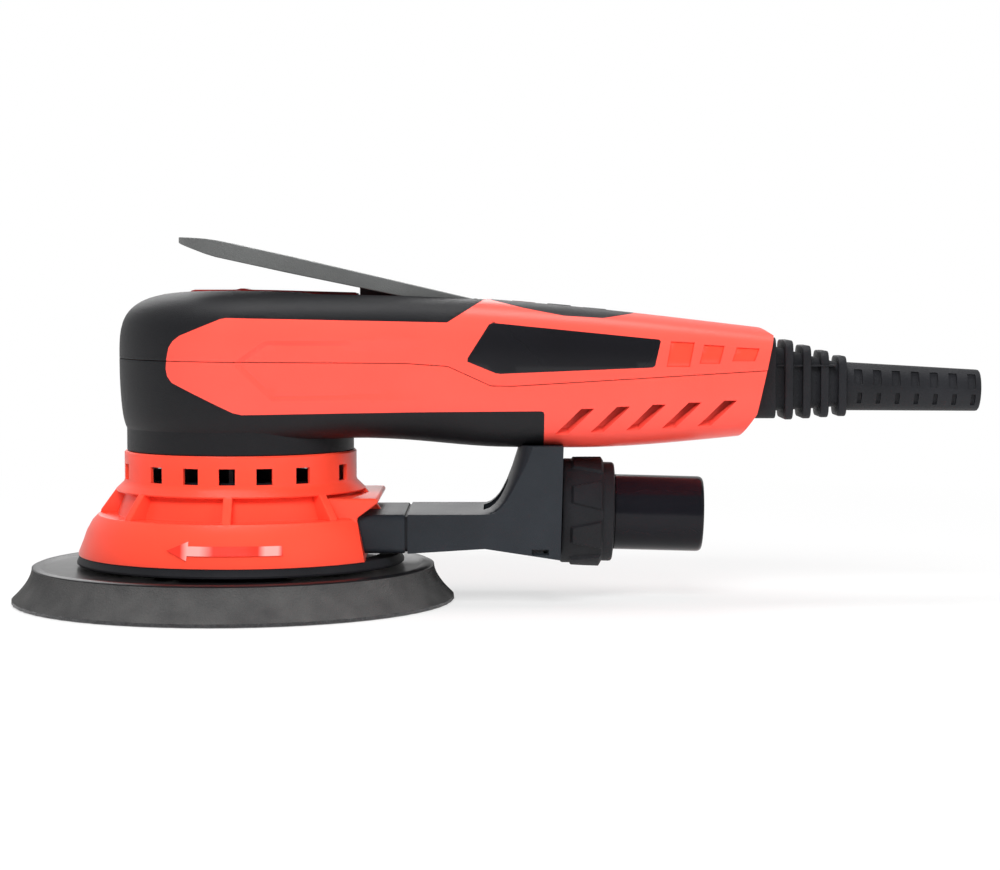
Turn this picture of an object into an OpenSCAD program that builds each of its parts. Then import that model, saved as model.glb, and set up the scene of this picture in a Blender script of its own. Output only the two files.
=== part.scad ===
// Random-orbit sander with a paddle lever, a dust duct and a swivelling hose spigot.
// Origin: motor axis at the sanding face. +X runs to the cord, +Z up, millimetres.

/* [Sanding pad] */
// Diameter of the sanding face
pad_d = 150; // [146:1:152]
// Height of the pad from the sanding face to the top of its plate
pad_h = 12.5; // [12:0.5:14]
// Thickness of the hook layer under the foam
hook_t = 1.2; // [1:0.1:2]
// Thickness of the pad's backing plate
plate_t = 2.4; // [2:0.1:3]
// Diameter of the backing plate
plate_d = 136; // [128:1:138]
// Diameter of the dust holes
dust_hole_d = 9; // [6:0.5:10]
// Diameter of the pad's orbit
orbit_d = 5; // [2.5:0.5:5]
// Diameter of the pad screw's shank
pad_screw_d = 8; // [6:0.5:8]

/* [Shroud] */
// Radius of the bell at its lower rim
bell_r = 54.8; // [53:0.2:56]
// Radius of the upright band at the top of the shroud
band_r = 39.2; // [39.2:0.1:40]
// Height of the shroud from rim to top
shroud_h = 35; // [34:0.5:36]
// Wall of the shroud
shroud_wall = 2.6; // [2:0.1:3]
// Side of the square vent holes
vent_hole = 5.3; // [4:0.1:5.6]
// Pitch of the cooling holes, measured across the body
vent_pitch = 12.1; // [11:0.1:12.3]
// Number of ribs on the bell
bell_ribs = 8; // [6:1:8]
// Thickness of each rib
bell_rib_t = 3; // [2:0.1:4]
// Height of the rubber brake skirt under the rim
skirt_h = 3.2; // [2.6:0.1:3.5]

/* [Body] */
// Radius of the round head
head_r = 40.7; // [40.2:0.1:41.5]
// Radius of the neck under the head
neck_r = 38.3; // [37.6:0.1:38.6]
// Height of the neck
neck_h = 8; // [7:0.5:9]
// Height of the head above the neck
head_h = 45.7; // [44:0.1:47]
// Distance from the motor axis to the top edge of the rear end
body_l = 178.6; // [172:0.2:184]
// Lean of the rear end from upright
rear_lean = 12.4; // [8:0.2:14]
// Half width of the handle at its rear end
tail_w = 24; // [22:0.5:25]
// Thickness of the soft grip
grip_t = 1.5; // [1:0.1:2]
// Wall of the housing without its grip
wall_t = 2.6; // [2:0.1:3]
// Height of the parting line at the head
parting_z = 82; // [80:0.5:84]

/* [Motor] */
// Diameter of the motor shaft
shaft_d = 10; // [9:0.5:11]
// Outer diameter of the stator
stator_d = 58; // [54:1:58]
// Bore of the stator
stator_bore = 32; // [30:0.5:34]
// Height of the laminated stack
stack_h = 18; // [14:0.5:20]
// Number of stator teeth
tooth_count = 9; // [6:3:12]
// Air gap between the rotor and the teeth
air_gap = 0.6; // [0.4:0.1:1]
// Number of blades on the cooling fan
fan_blades = 12; // [8:1:16]
// Outer radius of the cooling fan
fan_r = 33; // [30:0.5:34]

/* [Lever] */
// Distance from the motor axis to the lever's hinge pin
hinge_x = 79.5; // [78:0.5:81]
// Reach of the lever from its pin to its tip
lever_l = 100; // [94:0.5:104]
// Width of the lever's paddle
lever_w = 42; // [36:1:46]
// Depth of the lever's folded sides
lever_depth = 5.6; // [4.6:0.1:6]
// Sheet thickness of the lever
lever_t = 1.8; // [1.4:0.1:2.2]
// Diameter of the hinge pin
hinge_pin_d = 3; // [2.5:0.1:3.2]

/* [Dust duct] */
// Width of the dust duct
duct_w = 50; // [46:0.5:52]
// Height of the dust duct
duct_h = 12.9; // [11.5:0.1:13]
// Height of the duct's floor above the sanding face
duct_z = 17.9; // [17.6:0.1:18.6]
// Wall of the dust duct
duct_wall = 2.2; // [1.8:0.1:2.6]
// Where the duct's fixed stub ends
stub_end = 56.6; // [55:0.2:58]
// Where the duct ends at the collar
duct_end = 108.4; // [107:0.2:110]
// Downward tilt of the hose port
port_tilt = 1.5; // [0:0.1:2]
// Height of the port's axis where the duct ends
port_z = 30.2; // [29.8:0.1:31]
// Outer diameter of the locking collar
collar_d = 37.2; // [36:0.1:38]
// Length of the locking collar
collar_l = 17.6; // [16:0.2:19]
// Outer diameter of the hose spigot
spigot_d = 25.5; // [25:0.1:26.5]
// Bore of the hose spigot
spigot_bore = 21; // [19:0.5:22]
// Length of the spigot behind the collar
spigot_l = 30.6; // [26:0.2:36]

/* [Cord entry] */
// Diameter of the bore for the cord
cord_bore = 7.6; // [6:0.1:8.4]
// Number of square ribs on the gland
gland_ribs = 4; // [3:1:4]
// Distance from one gland rib to the next
gland_pitch = 6.1; // [5.6:0.1:6.4]
// Length of the slotted sleeve
sleeve_l = 45.8; // [38:0.5:50]
// Diameter of the sleeve where it leaves the gland
sleeve_d = 16.4; // [15:0.1:17]
// Diameter of the sleeve at its free end
sleeve_tip_d = 14; // [13:0.1:15]
// Number of slots along the sleeve
sleeve_slots = 7; // [5:1:7]

/* [Hidden] */
$fn = 64;
eps = 0.02;
red = "#f4614f";
black = "#2b2d30";
rubber = "#1f2022";
grey = "#4a4c4f";
steel = "#b9bcc2";
alloy = "#c9ccd0";
copper = "#c8763a";
// Clearances: a running fit, a gap between bodies, and a slip between parts of one body
run_fit = 0.04;
gap = 0.35;
slip = 0.1;

// Heights, stacked from the sanding face
skirt_z = pad_h + gap;
shroud_z = skirt_z + skirt_h;
neck_z = shroud_z + shroud_h;
head_z = neck_z + neck_h;
top_z = head_z + head_h;
band_z = neck_z - 12;
lip_z = shroud_z + 13.6;
foam_z = pad_h - plate_t;
pad_x = -orbit_d / 2;

// Handle: height of its top and bottom at distances along it, and its waist
waist_x = 104;
tail_x = 190;
handle_top = [[0, top_z], [27, top_z - 0.6], [76, top_z - 2.3], [110, top_z - 5], [tail_x, top_z - 14]];
handle_floor = [[0, head_z - 6], [40, head_z - 3.4], [90, head_z - 6.8], [112, head_z - 7],
    [tail_x, head_z - 1.2]];
handle_width = [[0, head_r], [16, head_r - 2.2], [40, head_r - 7], [68, 29.6], [waist_x, 28.4],
    [tail_x, tail_w - 0.6]];
handle_mid = [[0, parting_z - 1], [60, parting_z - 2], [90, parting_z - 6], [tail_x, parting_z - 6]];
roof_power = 3.8;
floor_power = [[0, 8], [40, 5], [70, 3.6], [tail_x, 3.4]];
belly_tuck = [[0, 0.055], [60, 0.02], [tail_x, 0]];
cavity_t = grip_t + wall_t;

// Side-view outlines of the housing's parts
parting = [[-60, parting_z + 0.4], [57, parting_z - 1], [71, parting_z - 2], [85, parting_z - 8.5],
    [104, parting_z - 7.8], [tail_x + 20, parting_z - 3.4]];
red_zone = [[-20.5, parting_z + 1], [-20.5, parting_z - 3.6], [2, head_z + 6], [103, head_z + 6.2],
    [103, 0], [tail_x + 20, 0], [tail_x + 20, top_z + 20], [130, top_z + 20], [68.4, top_z - 9.5],
    [-2, top_z - 7.9]];
panel_zone = [[85.5, top_z + 9], [85.5, top_z - 3.4], [92, top_z - 6], [108, top_z - 7.4],
    [124, top_z - 8], [133, top_z - 7.2], [133, top_z + 9]];
label_zone = [[77, top_z - 22.2], [84.8, top_z - 9.9], [140.9, top_z - 16], [138.8, top_z - 25],
    [87.2, top_z - 26.9]];
// Windows: start, width, low edge and height of each
window_marks = [[142.7, 7.8, top_z - 25, 8.4], [153.6, 6.8, top_z - 24, 6.3],
    [164.4, 7.6, top_z - 23.2, 4.6]];
slot_marks = [106, 117.8, 129.6, 141.4, 153.2];

// Lever: its hinge, its travel and the line of its sheet, by the distance d from the pin
hinge_z = top_z - 5.3;
lever_travel = 5;
function lever_line(d) = 0.4 + 0.22 * d;
function lever_half(d) = lever_depth / 2 * min(0.35 + (lever_l - d) * 0.05, 0.72 + d / 220, 1);
hinge_w = 24;
plunger_x = 51;
plunger_l = 20;
plunger_w = 16;
plunger_d = hinge_x - plunger_x;
plunger_drop = plunger_d * tan(lever_travel);
plunger_top = hinge_z + lever_line(plunger_d) + lever_half(plunger_d) - lever_t - gap;
plunger_foot = top_z - 9;
guide_t = 1.6;
guide_floor = plunger_foot - 6.5;
stem_d = 5;
switch_top = guide_floor - guide_t - 2 - plunger_drop - 0.3;
switch_l = 19;
switch_w = 10;
switch_h = 10;

// Control panel: three round keys along the top of the handle
key_x = [96, 108, 120];
key_d = 8;
key_travel = 0.8;
key_proud = 0.3;
panel_slope = atan((lookup(key_x[0], handle_top) - lookup(key_x[2], handle_top)) / (key_x[2] - key_x[0]));
key_roof = 5;

// Motor stack
can_r = stator_d / 2 + 2.2;
can_h = 31;
bracket_t = 3;
bearing_h = 8;
lower_bearing_d = 26;
upper_bearing_d = 22;
upper_shaft_d = 8;
stack_z = neck_z + 10;
rotor_r = stator_bore / 2 - air_gap;
magnet_t = 2.4;
fan_z = neck_z - bracket_t - 7.6;
fan_h = 6.6;
bracket_screw_r = can_r + 2.7;
upper_bearing_z = top_z - cavity_t - bearing_h - 1.5;
shaft_z = shroud_z + 17.8;

// Eccentric hub and pad spindle
hub_r = 19;
hub_z = skirt_z + 2.8;
spindle_d = 12;
spindle_bearing_d = 28;
flange_d = 24;
flange_h = 2.4;
clip_t = 1.2;
spindle_bearing_h = 7.4;
spindle_top = hub_z + clip_t + 2 * spindle_bearing_h + 0.4;

// Hose port
collar_step = 4.2;
port_wall = 3;
socket_d = spigot_d + 5;
hood_w = duct_w + 6;

// Cord gland
gland_z = head_z + 16.3;
gland_w = 26;
gland_h = 26.6;
gland_face = body_l + 1.7;
gland_bore_d = sleeve_d;
sleeve_x = gland_face + gland_ribs * gland_pitch - 0.3;
sleeve_z = gland_z - 2.9;
sleeve_tilt = 1.8;

// ---------------------------------------------------------------- shared shapes

// Rectangle with round corners, centred
module round_rect(w, h, r) {
    square([w - 2 * r, h], center = true);
    square([w, h - 2 * r], center = true);
    for (x = [-1, 1], y = [-1, 1])
        translate([x * (w / 2 - r), y * (h / 2 - r)]) circle(r, $fn = 32);
}

// Tube standing on z = 0
module tube(r_out, r_in, h) {
    difference() {
        cylinder(r = r_out, h = h);
        translate([0, 0, -1]) cylinder(r = r_in, h = h + 2);
    }
}

// Prism across the body from an outline in the side view (x, z)
module side_prism(outline, half) {
    rotate([90, 0, 0]) linear_extrude(2 * half, center = true) polygon(outline);
}

// Superellipse step: 2 / n power of a sine or cosine, kept positive
function step_pow(c, n) = pow(abs(c), 2 / n);

// One point of the body: x and a place the station, v climbs from floor to roof, t insets it
function body_point(x, a, v, t) =
    let (mid = lookup(x, handle_mid),
         drop = v < 0 ? step_pow(sin(v), lookup(x, floor_power)) : 0,
         reach = step_pow(cos(v), v < 0 ? lookup(x, floor_power) : roof_power),
         s = (lookup(x, handle_width) - t) * reach * (1 - lookup(x, belly_tuck) * drop * drop),
         z = v < 0 ? mid - (mid - lookup(x, handle_floor) - t) * drop
                   : mid + (lookup(x, handle_top) - t - mid) * step_pow(sin(v), roof_power))
    [x + s * cos(a), s * sin(a), z];

// Stations run up one side, round the head and back down the other side
side_x = [tail_x, 160, 130, 104, 84, 62, 40, 22, 8];
stations = concat([for (x = side_x) [x, 90]], [for (a = [90:15:270]) [0, a]],
    [for (i = [len(side_x) - 1:-1:0]) [side_x[i], 270]]);
levels = [-78, -60, -42, -25, -10, 0, 14, 30, 46, 62, 78];

// Head and handle as one lofted solid, inset by t
module body_form(t) {
    n = len(stations);
    m = len(levels);
    mid = floor(n / 2);
    points = [for (v = levels) for (s = stations) body_point(s[0], s[1], v, t)];
    sides = [for (j = [0:m - 2]) for (i = [0:n - 1])
        let (k = (i + 1) % n) [(j + 1) * n + i, (j + 1) * n + k, j * n + k, j * n + i]];
    floor_faces = concat([for (i = [0:mid - 2]) [i, i + 1, n - 2 - i, n - 1 - i]],
        [[mid - 1, mid, mid + 1]]);
    roof_faces = [for (f = floor_faces) [for (i = [len(f) - 1:-1:0]) (m - 1) * n + f[i]]];
    polyhedron(points, concat(sides, floor_faces, roof_faces), convexity = 6);
}

// Space behind the leaning rear end, moved forward by d
module behind_rear(d) {
    translate([body_l - d, 0, top_z - 15]) rotate([0, rear_lean, 0]) {
        translate([0, -100, -100]) cube(200);
        translate([0, 0, -26.5]) rotate([0, 20, 0]) translate([0, -100, -60]) cube([60, 200, 60]);
        translate([-1.5, 0, 0.85]) rotate([0, -67, 0]) translate([0, -100, -100]) cube(200);
    }
}

// Space above the parting line
module above_parting() {
    side_prism(concat(parting, [[tail_x + 20, top_z + 40], [-60, top_z + 40]]), 80);
}

// Slots that lean back and climb with the tail's floor, cut through both of its sides
module tail_slots() {
    difference() {
        for (x = slot_marks) let (z = head_z - 1.6 + 0.055 * (x - slot_marks[0]))
            side_prism([[x, z], [x + 4.3, z], [x + 13, z + 8.6], [x + 8.7, z + 8.6]], 40);
        translate([0, -17.2, 0]) cube([tail_x, 34.4, top_z]);
    }
}

// Frame of the control panel: x along the handle, z out of its top
module on_panel(x) {
    translate([x, 0, lookup(x, handle_top)]) rotate([0, panel_slope, 0]) children();
}

// Frame of the hose port: z along its axis, from the end of the duct
module on_port() {
    translate([duct_end, 0, port_z]) rotate([0, 90 + port_tilt, 0]) children();
}

// ---------------------------------------------------------------- sanding pad

// Places of the dust holes, on the pad's own axis: an inner and an outer ring
dust_rings = [0.18 * pad_d, 0.3 * pad_d];

module dust_holes(z, h) {
    for (a = [0:60:359])
        rotate(a) translate([dust_rings[0], 0, z]) cylinder(d = dust_hole_d, h = h, $fn = 32);
    for (a = [22.5:45:359])
        rotate(a) translate([dust_rings[1], 0, z]) cylinder(d = dust_hole_d, h = h, $fn = 32);
}

centre_hole_d = 17;
plate_hub_r = 15;
screw_head_d = 13;
screw_head_z = pad_h - 8.5;
plate_seat_z = screw_head_z + 4;

module hook_face() {
    color(grey) translate([pad_x, 0, 0]) difference() {
        cylinder(d = pad_d, h = hook_t, $fn = 96);
        translate([0, 0, -1]) cylinder(d = centre_hole_d, h = hook_t + 2);
        dust_holes(-1, hook_t + 2);
    }
}

// Foam disc: its flank sweeps out from the plate to a sharp lower edge
module foam_pad() {
    flare = [for (i = [0:7]) let (t = i / 7)
        [plate_d / 2 + (pad_d - plate_d) / 2 * pow(1 - t, 1.7), hook_t + (foam_z - hook_t) * t]];
    color(rubber) translate([pad_x, 0, 0]) difference() {
        rotate_extrude($fn = 96) polygon(concat([[plate_hub_r, hook_t]], flare, [[plate_hub_r, foam_z]]));
        dust_holes(0, pad_h);
    }
}

// Moulded plate with a hub that takes the screw and a raised rim on top
module pad_plate() {
    color(black) translate([pad_x, 0, 0]) difference() {
        rotate_extrude($fn = 96) polygon([[pad_screw_d / 2 + slip, plate_seat_z],
            [screw_head_d / 2 + 1, plate_seat_z], [screw_head_d / 2 + 1, hook_t],
            [plate_hub_r, hook_t], [plate_hub_r, foam_z], [plate_d / 2, foam_z],
            [plate_d / 2, pad_h - 0.9], [plate_d / 2 - 0.9, pad_h - 0.1], [plate_d / 2 - 4, pad_h - 0.1],
            [plate_d / 2 - 5, pad_h - 0.9], [20, pad_h - 0.9], [18, pad_h],
            [pad_screw_d / 2 + slip, pad_h]]);
        dust_holes(0, pad_h + 1);
    }
}

module pad_screw() {
    color(steel) translate([pad_x, 0, 0]) difference() {
        union() {
            translate([0, 0, screw_head_z]) cylinder(d = screw_head_d, h = plate_seat_z - screw_head_z);
            translate([0, 0, plate_seat_z - eps]) cylinder(d = pad_screw_d, h = pad_h + 11 - plate_seat_z);
        }
        translate([0, 0, screw_head_z - 1]) cylinder(d = 6.9, h = 3.8, $fn = 6);
    }
}

// ---------------------------------------------------------------- orbit drive

// Spindle with the flange that the pad is screwed to
module pad_spindle() {
    color(steel) translate([pad_x, 0, 0]) difference() {
        union() {
            translate([0, 0, pad_h]) cylinder(d = flange_d, h = flange_h);
            translate([0, 0, pad_h + flange_h - eps])
                cylinder(d = spindle_d, h = spindle_top - pad_h - flange_h);
        }
        translate([0, 0, pad_h - 1]) cylinder(d = pad_screw_d + 2 * slip, h = 13);
    }
}

// Circlip that keeps the bearings in the hub
module retaining_ring() {
    color(steel) translate([pad_x, 0, hub_z + 0.1]) difference() {
        tube(spindle_bearing_d / 2 + 0.6, spindle_bearing_d / 2 - 1.8, clip_t - 0.2);
        translate([-3, 0, -1]) cube([6, spindle_bearing_d, 4]);
    }
}

// Shaped like a ball bearing: two races with a recessed shield between them
module bearing(d, bore, h) {
    rim = (d - bore) / 7;
    difference() {
        cylinder(d = d, h = h);
        translate([0, 0, -1]) cylinder(d = bore + 2 * run_fit, h = h + 2);
        for (z = [-1, h - 0.5]) translate([0, 0, z]) tube(d / 2 - rim, bore / 2 + rim, 1.5);
    }
}

module spindle_bearings() {
    color(steel) for (i = [0, 1])
        translate([pad_x, 0, hub_z + clip_t + i * (spindle_bearing_h + 0.2)])
            bearing(spindle_bearing_d, spindle_d, spindle_bearing_h);
}

// Hub on the motor shaft whose bore is off its axis, with the balance weight opposite
module eccentric_hub() {
    weight_r = 31;
    bore_h = clip_t + 2 * spindle_bearing_h + 0.6;
    color(alloy) difference() {
        union() {
            translate([0, 0, hub_z]) cylinder(r = hub_r, h = bore_h + 2);
            translate([0, 0, hub_z + bore_h]) cylinder(r = 12, h = fan_z - hub_z - bore_h);
            translate([0, 0, hub_z + 3]) intersection() {
                cylinder(r = weight_r, h = 9);
                translate([2, -20, -1]) cube([40, 40, 20]);
            }
        }
        translate([pad_x, 0, hub_z - 1]) cylinder(d = spindle_bearing_d + slip, h = bore_h + 1);
        translate([pad_x, 0, hub_z]) cylinder(d = spindle_bearing_d + 1.4, h = clip_t);
        translate([0, 0, shaft_z]) cylinder(d = shaft_d + slip, h = 30);
    }
}

// ---------------------------------------------------------------- motor

// Centrifugal fan that blows the cooling air out through the square holes
module cooling_fan() {
    color(black) translate([0, 0, fan_z]) difference() {
        union() {
            cylinder(r = fan_r, h = 1.4);
            cylinder(r = 9, h = fan_h);
            for (a = [0:360 / fan_blades:359]) rotate(a)
                translate([15, -0.7, 0]) cube([fan_r - 16, 1.4, fan_h]);
        }
        translate([0, 0, -1]) cylinder(d = shaft_d + slip, h = fan_h + 2);
    }
}

module rotor_shaft() {
    step_z = upper_bearing_z - 1;
    color(steel) {
        translate([0, 0, shaft_z + 0.2]) cylinder(d = shaft_d, h = step_z - shaft_z);
        translate([0, 0, step_z]) cylinder(d = upper_shaft_d, h = bearing_h + 1);
    }
}

module rotor_core() {
    color(grey) translate([0, 0, stack_z - 1]) tube(rotor_r - magnet_t, shaft_d / 2 + slip / 2, stack_h + 2);
}

// Four curved magnets round the core
module rotor_magnets() {
    color("#6d6f72") translate([0, 0, stack_z]) difference() {
        tube(rotor_r, rotor_r - magnet_t + slip / 2, stack_h);
        for (a = [0, 90]) rotate(a) translate([-rotor_r - 1, -1, -1]) cube([2 * rotor_r + 2, 2, stack_h + 2]);
    }
}

module lower_bearing() {
    color(steel) translate([0, 0, neck_z - 1]) bearing(lower_bearing_d, shaft_d, bearing_h);
}

module upper_bearing() {
    color(steel) translate([0, 0, upper_bearing_z]) bearing(upper_bearing_d, upper_shaft_d, bearing_h);
}

// Alloy end plate and can: the plate seats under the neck, the can holds the stator
module motor_bracket() {
    seat_r = lower_bearing_d / 2;
    color(alloy) difference() {
        union() {
            translate([0, 0, neck_z - bracket_t]) cylinder(r = band_r - shroud_wall - gap, h = bracket_t);
            translate([0, 0, neck_z - eps]) cylinder(r = seat_r + 3, h = bearing_h - 1);
            translate([0, 0, neck_z - eps]) tube(can_r, stator_d / 2 + slip / 2, can_h);
            translate([0, 0, neck_z - eps]) tube(can_r, stator_d / 2 - 2, stack_z - neck_z);
        }
        translate([0, 0, neck_z - 1]) cylinder(r = seat_r + slip / 2, h = bearing_h + 2);
        translate([0, 0, neck_z - bracket_t - 1]) cylinder(d = shaft_d + 6, h = 10);
        for (a = [45:90:359]) rotate(a) translate([bracket_screw_r, 0, neck_z - bracket_t - 1])
            cylinder(d = 3.2, h = bracket_t + 2, $fn = 32);
        for (a = [0:60:359]) rotate(a) translate([22.5, 0, neck_z - bracket_t - 1])
            cylinder(d = 8, h = bracket_t + 2, $fn = 32);
    }
}

// Laminated ring with a T-shaped tooth for each coil
module stator_core() {
    yoke_r = stator_d / 2 - 4;
    color("#8b8d90") translate([0, 0, stack_z]) {
        tube(stator_d / 2, yoke_r, stack_h);
        intersection() {
            tube(yoke_r + 1, stator_bore / 2, stack_h);
            for (a = [0:360 / tooth_count:359]) rotate(a) {
                translate([stator_bore / 2 - 1, -1.8, 0]) cube([yoke_r - stator_bore / 2 + 2, 3.6, stack_h]);
                translate([stator_bore / 2 - 1, -4.4, 0]) cube([2.6, 8.8, stack_h]);
            }
        }
    }
}

// One coil round each tooth
module stator_coils() {
    inner = stator_bore / 2 + 2;
    long = stator_d / 2 - 4.6 - inner;
    color(copper) for (a = [0:360 / tooth_count:359]) rotate(a)
        translate([inner, 0, stack_z + stack_h / 2]) difference() {
            translate([0, -3.9, -stack_h / 2 - 3]) cube([long, 7.8, stack_h + 6]);
            translate([-1, -1.8 - slip, -stack_h / 2 - slip])
                cube([long + 2, 3.6 + 2 * slip, stack_h + 2 * slip]);
        }
}

module bracket_screws() {
    color(steel) for (a = [45:90:359]) rotate(a) translate([bracket_screw_r, 0, neck_z - bracket_t - 1.8]) {
        cylinder(d = 4.6, h = 1.8, $fn = 32);
        cylinder(d = 2.9, h = bracket_t + 9, $fn = 32);
    }
}

// ---------------------------------------------------------------- shroud

// Rubber ring that slows the pad off the work
module brake_skirt() {
    color(rubber) translate([0, 0, skirt_z]) rotate_extrude($fn = 96)
        polygon([[bell_r - 1.4, 0], [bell_r + 0.4, 0], [bell_r + 0.6, 0.8], [bell_r - 0.4, skirt_h],
            [bell_r - 7, skirt_h], [bell_r - 7, skirt_h - 1.4], [bell_r - 2.2, skirt_h - 1.4]]);
}

// Outer line of the bell from the rim to the lip under the recesses
lip_r = bell_r - 6.6;
bell_line = [[bell_r, shroud_z], [bell_r, shroud_z + 0.8], [bell_r - 1.6, shroud_z + 4.8],
    [bell_r - 2.8, shroud_z + 8.2], [bell_r - 4.7, shroud_z + 11.6], [lip_r, lip_z]];
recess_r = band_r - 0.6;
ledge_r = band_r + 3;

module shroud_skin() {
    rotate_extrude($fn = 96) polygon(concat([[bell_r - 3.6, shroud_z]], bell_line,
        [[recess_r + 3.2, lip_z], [recess_r, band_z - 1.6], [ledge_r, band_z - 1.2], [ledge_r, band_z - 0.2],
        [band_r, band_z + 0.4], [band_r, neck_z], [band_r - shroud_wall, neck_z],
        [band_r - shroud_wall, band_z], [recess_r - shroud_wall + 0.4, band_z - 3],
        [recess_r + 0.4, lip_z - 2.4], [lip_r - 1.4 - shroud_wall, lip_z - 2.8],
        [bell_r - 1.6 - shroud_wall, shroud_z + 4.8]]));
}

// Side outline of the hood over the duct: a visor above, upright below
hood_foot = [43.7, shroud_z];
hood_throat = [40.8, shroud_z + 13.8];
visor_tip = [48, shroud_z + 19.1];
hood = [[30, shroud_z], hood_foot, hood_throat, visor_tip, [47.4, shroud_z + 20.4], [30, shroud_z + 20.4]];

// Space behind the hood, where the bell is left out
module behind_hood() {
    side_prism([hood_foot - [0, 1], hood_foot, hood_throat, visor_tip, [bell_r + 20, visor_tip[1]],
        [bell_r + 20, shroud_z - 1]], bell_r + 20);
}

// Flat end of the bell beside the duct, along the hood's line
module cheeks() {
    intersection() {
        side_prism([[hood_throat[0] - 2.6, shroud_z], hood_foot, hood_throat,
            [hood_throat[0] - 2.6, hood_throat[1]]], bell_r);
        rotate_extrude($fn = 96) polygon(concat([[0, shroud_z]], bell_line, [[0, lip_z]]));
    }
}

module shroud() {
    inner_r = lip_r - 1.4 - shroud_wall;
    color(red) difference() {
        union() {
            difference() {
                shroud_skin();
                behind_hood();
            }
            cheeks();
            // Web between the cooling air above and the dust below
            translate([0, 0, fan_z - 3.2]) tube(recess_r, 15, 1.8);
            for (i = [0:bell_ribs - 1]) rotate(i * 360 / bell_ribs - 90)
                side_prism([[recess_r - 1, lip_z - 1], [lip_r - 0.2, lip_z - 1], [lip_r - 0.6, lip_z + 1],
                    [ledge_r, band_z - 1], [recess_r - 1, band_z - 1]], bell_rib_t / 2);
            difference() {
                side_prism(hood, hood_w / 2);
                translate([0, 0, shroud_z - 1]) cylinder(r = recess_r + 1.2, h = 40, $fn = 96);
            }
        }
        translate([24, -duct_w / 2 - slip, duct_z - slip]) cube([40, duct_w + 2 * slip, duct_h + 2 * slip]);
        translate([24, -duct_w / 2 - slip, shroud_z - 1]) cube([inner_r - 24, duct_w + 2 * slip, 4]);
        for (i = [-3:3], side = [-1, 1]) rotate(side * (90 - asin((i * vent_pitch - 0.6) / band_r)))
            translate([band_r - 5, -vent_hole / 2, band_z + 2.6]) cube([10, vent_hole, vent_hole]);
    }
}

// ---------------------------------------------------------------- housing

// Space inside the housing, closed by the rear wall
module cavity() {
    difference() {
        body_form(cavity_t);
        behind_rear(wall_t + 1);
    }
}

// Side-view zones of one colour, as prisms through the body
module label_prism(grow = 0) {
    side_prism([for (p = label_zone)
        [p[0] + sign(p[0] - 105) * grow, p[1] + sign(p[1] - top_z + 19) * grow]], 80);
}

module window_prisms() {
    for (w = window_marks)
        side_prism([[w[0], w[2]], [w[0] + w[1], w[2]], [w[0] + w[1] + 1.6, w[2] + w[3] - 0.4],
            [w[0] + 1.6, w[2] + w[3]]], 80);
}

// The red moulding: full outside in its own zone, and one grip's thickness lower elsewhere
module hard_shell() {
    intersection() {
        body_form(0);
        difference() {
            side_prism(red_zone, 80);
            side_prism(panel_zone, 80);
            label_prism();
            window_prisms();
        }
    }
    body_form(grip_t);
}

// Towers for the screws that close the housing
tower_d = 8;
tower_marks = [[66, 20], [body_l - 21.6, 15]];
tower_floor = head_z - 1.5;

module on_towers(z) {
    for (m = tower_marks, side = [-1, 1]) translate([m[0], side * m[1], z]) children();
}

// Board posts, on the same marks as the holes in the board
board_z = head_z + 9.5;
board_t = 1.6;
board_x = [plunger_x + switch_l / 2 + 10.5, body_l - 36.6];
board_w = 36;

module on_board_posts(z) {
    for (x = [board_x[0] + 5, board_x[1] - 5], side = [-1, 1])
        translate([x, side * (board_w / 2 - 4), z]) children();
}

// Gland axis through the rear wall: z along the cord
module on_gland() {
    translate([gland_face, 0, gland_z - 0.7]) rotate([0, 96, 0]) children();
}

clamp_x = body_l - 29.6;
clamp_y = 10.5;
clamp_z = gland_z - 3.8;

module lower_shell() {
    color(red) difference() {
        union() {
            difference() {
                hard_shell();
                cavity();
                above_parting();
            }
            difference() {
                translate([0, 0, neck_z]) cylinder(r = neck_r - grip_t, h = 12);
                translate([0, 0, head_z]) cylinder(r = neck_r - grip_t - 3, h = 20);
            }
            intersection() {
                union() {
                    on_towers(tower_floor) cylinder(d = tower_d, h = 40, $fn = 32);
                    on_board_posts(head_z - 5) cylinder(d = 6, h = board_z - head_z + 5, $fn = 32);
                    for (side = [-1, 1]) translate([clamp_x, side * clamp_y, head_z - 2])
                        cylinder(d = 6.4, h = clamp_z - head_z + 2, $fn = 32);
                }
                difference() {
                    body_form(grip_t);
                    above_parting();
                }
            }
        }
        translate([0, 0, neck_z - 1]) cylinder(r = can_r + slip, h = 60);
        for (a = [45:90:359]) rotate(a) translate([bracket_screw_r, 0, neck_z - 1])
            cylinder(d = 3, h = 9, $fn = 32);
        on_board_posts(board_z - 7) cylinder(d = 2.4, h = 10, $fn = 32);
        on_towers(tower_floor - 10) cylinder(d = 6.6, h = 12.5, $fn = 32);
        on_towers(tower_floor) cylinder(d = 3.4, h = 40, $fn = 32);
        for (side = [-1, 1]) translate([clamp_x, side * clamp_y, clamp_z - 7])
            cylinder(d = 2.6, h = 10, $fn = 32);
        tail_slots();
        behind_rear(0);
        on_gland() translate([0, 0, -22]) cylinder(d = gland_bore_d + 2 * slip, h = 40);
    }
}

// Soft skin over the neck, the lower head and the handle's belly
module lower_grip() {
    color(black) difference() {
        union() {
            body_form(0);
            translate([0, 0, neck_z]) cylinder(r = neck_r, h = neck_h + 1);
        }
        body_form(grip_t);
        translate([0, 0, neck_z - 1]) cylinder(r = neck_r - grip_t, h = 13);
        side_prism(red_zone, 80);
        above_parting();
        on_towers(tower_floor - 10) cylinder(d = 6.6, h = 12.5, $fn = 32);
    }
}

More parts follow.
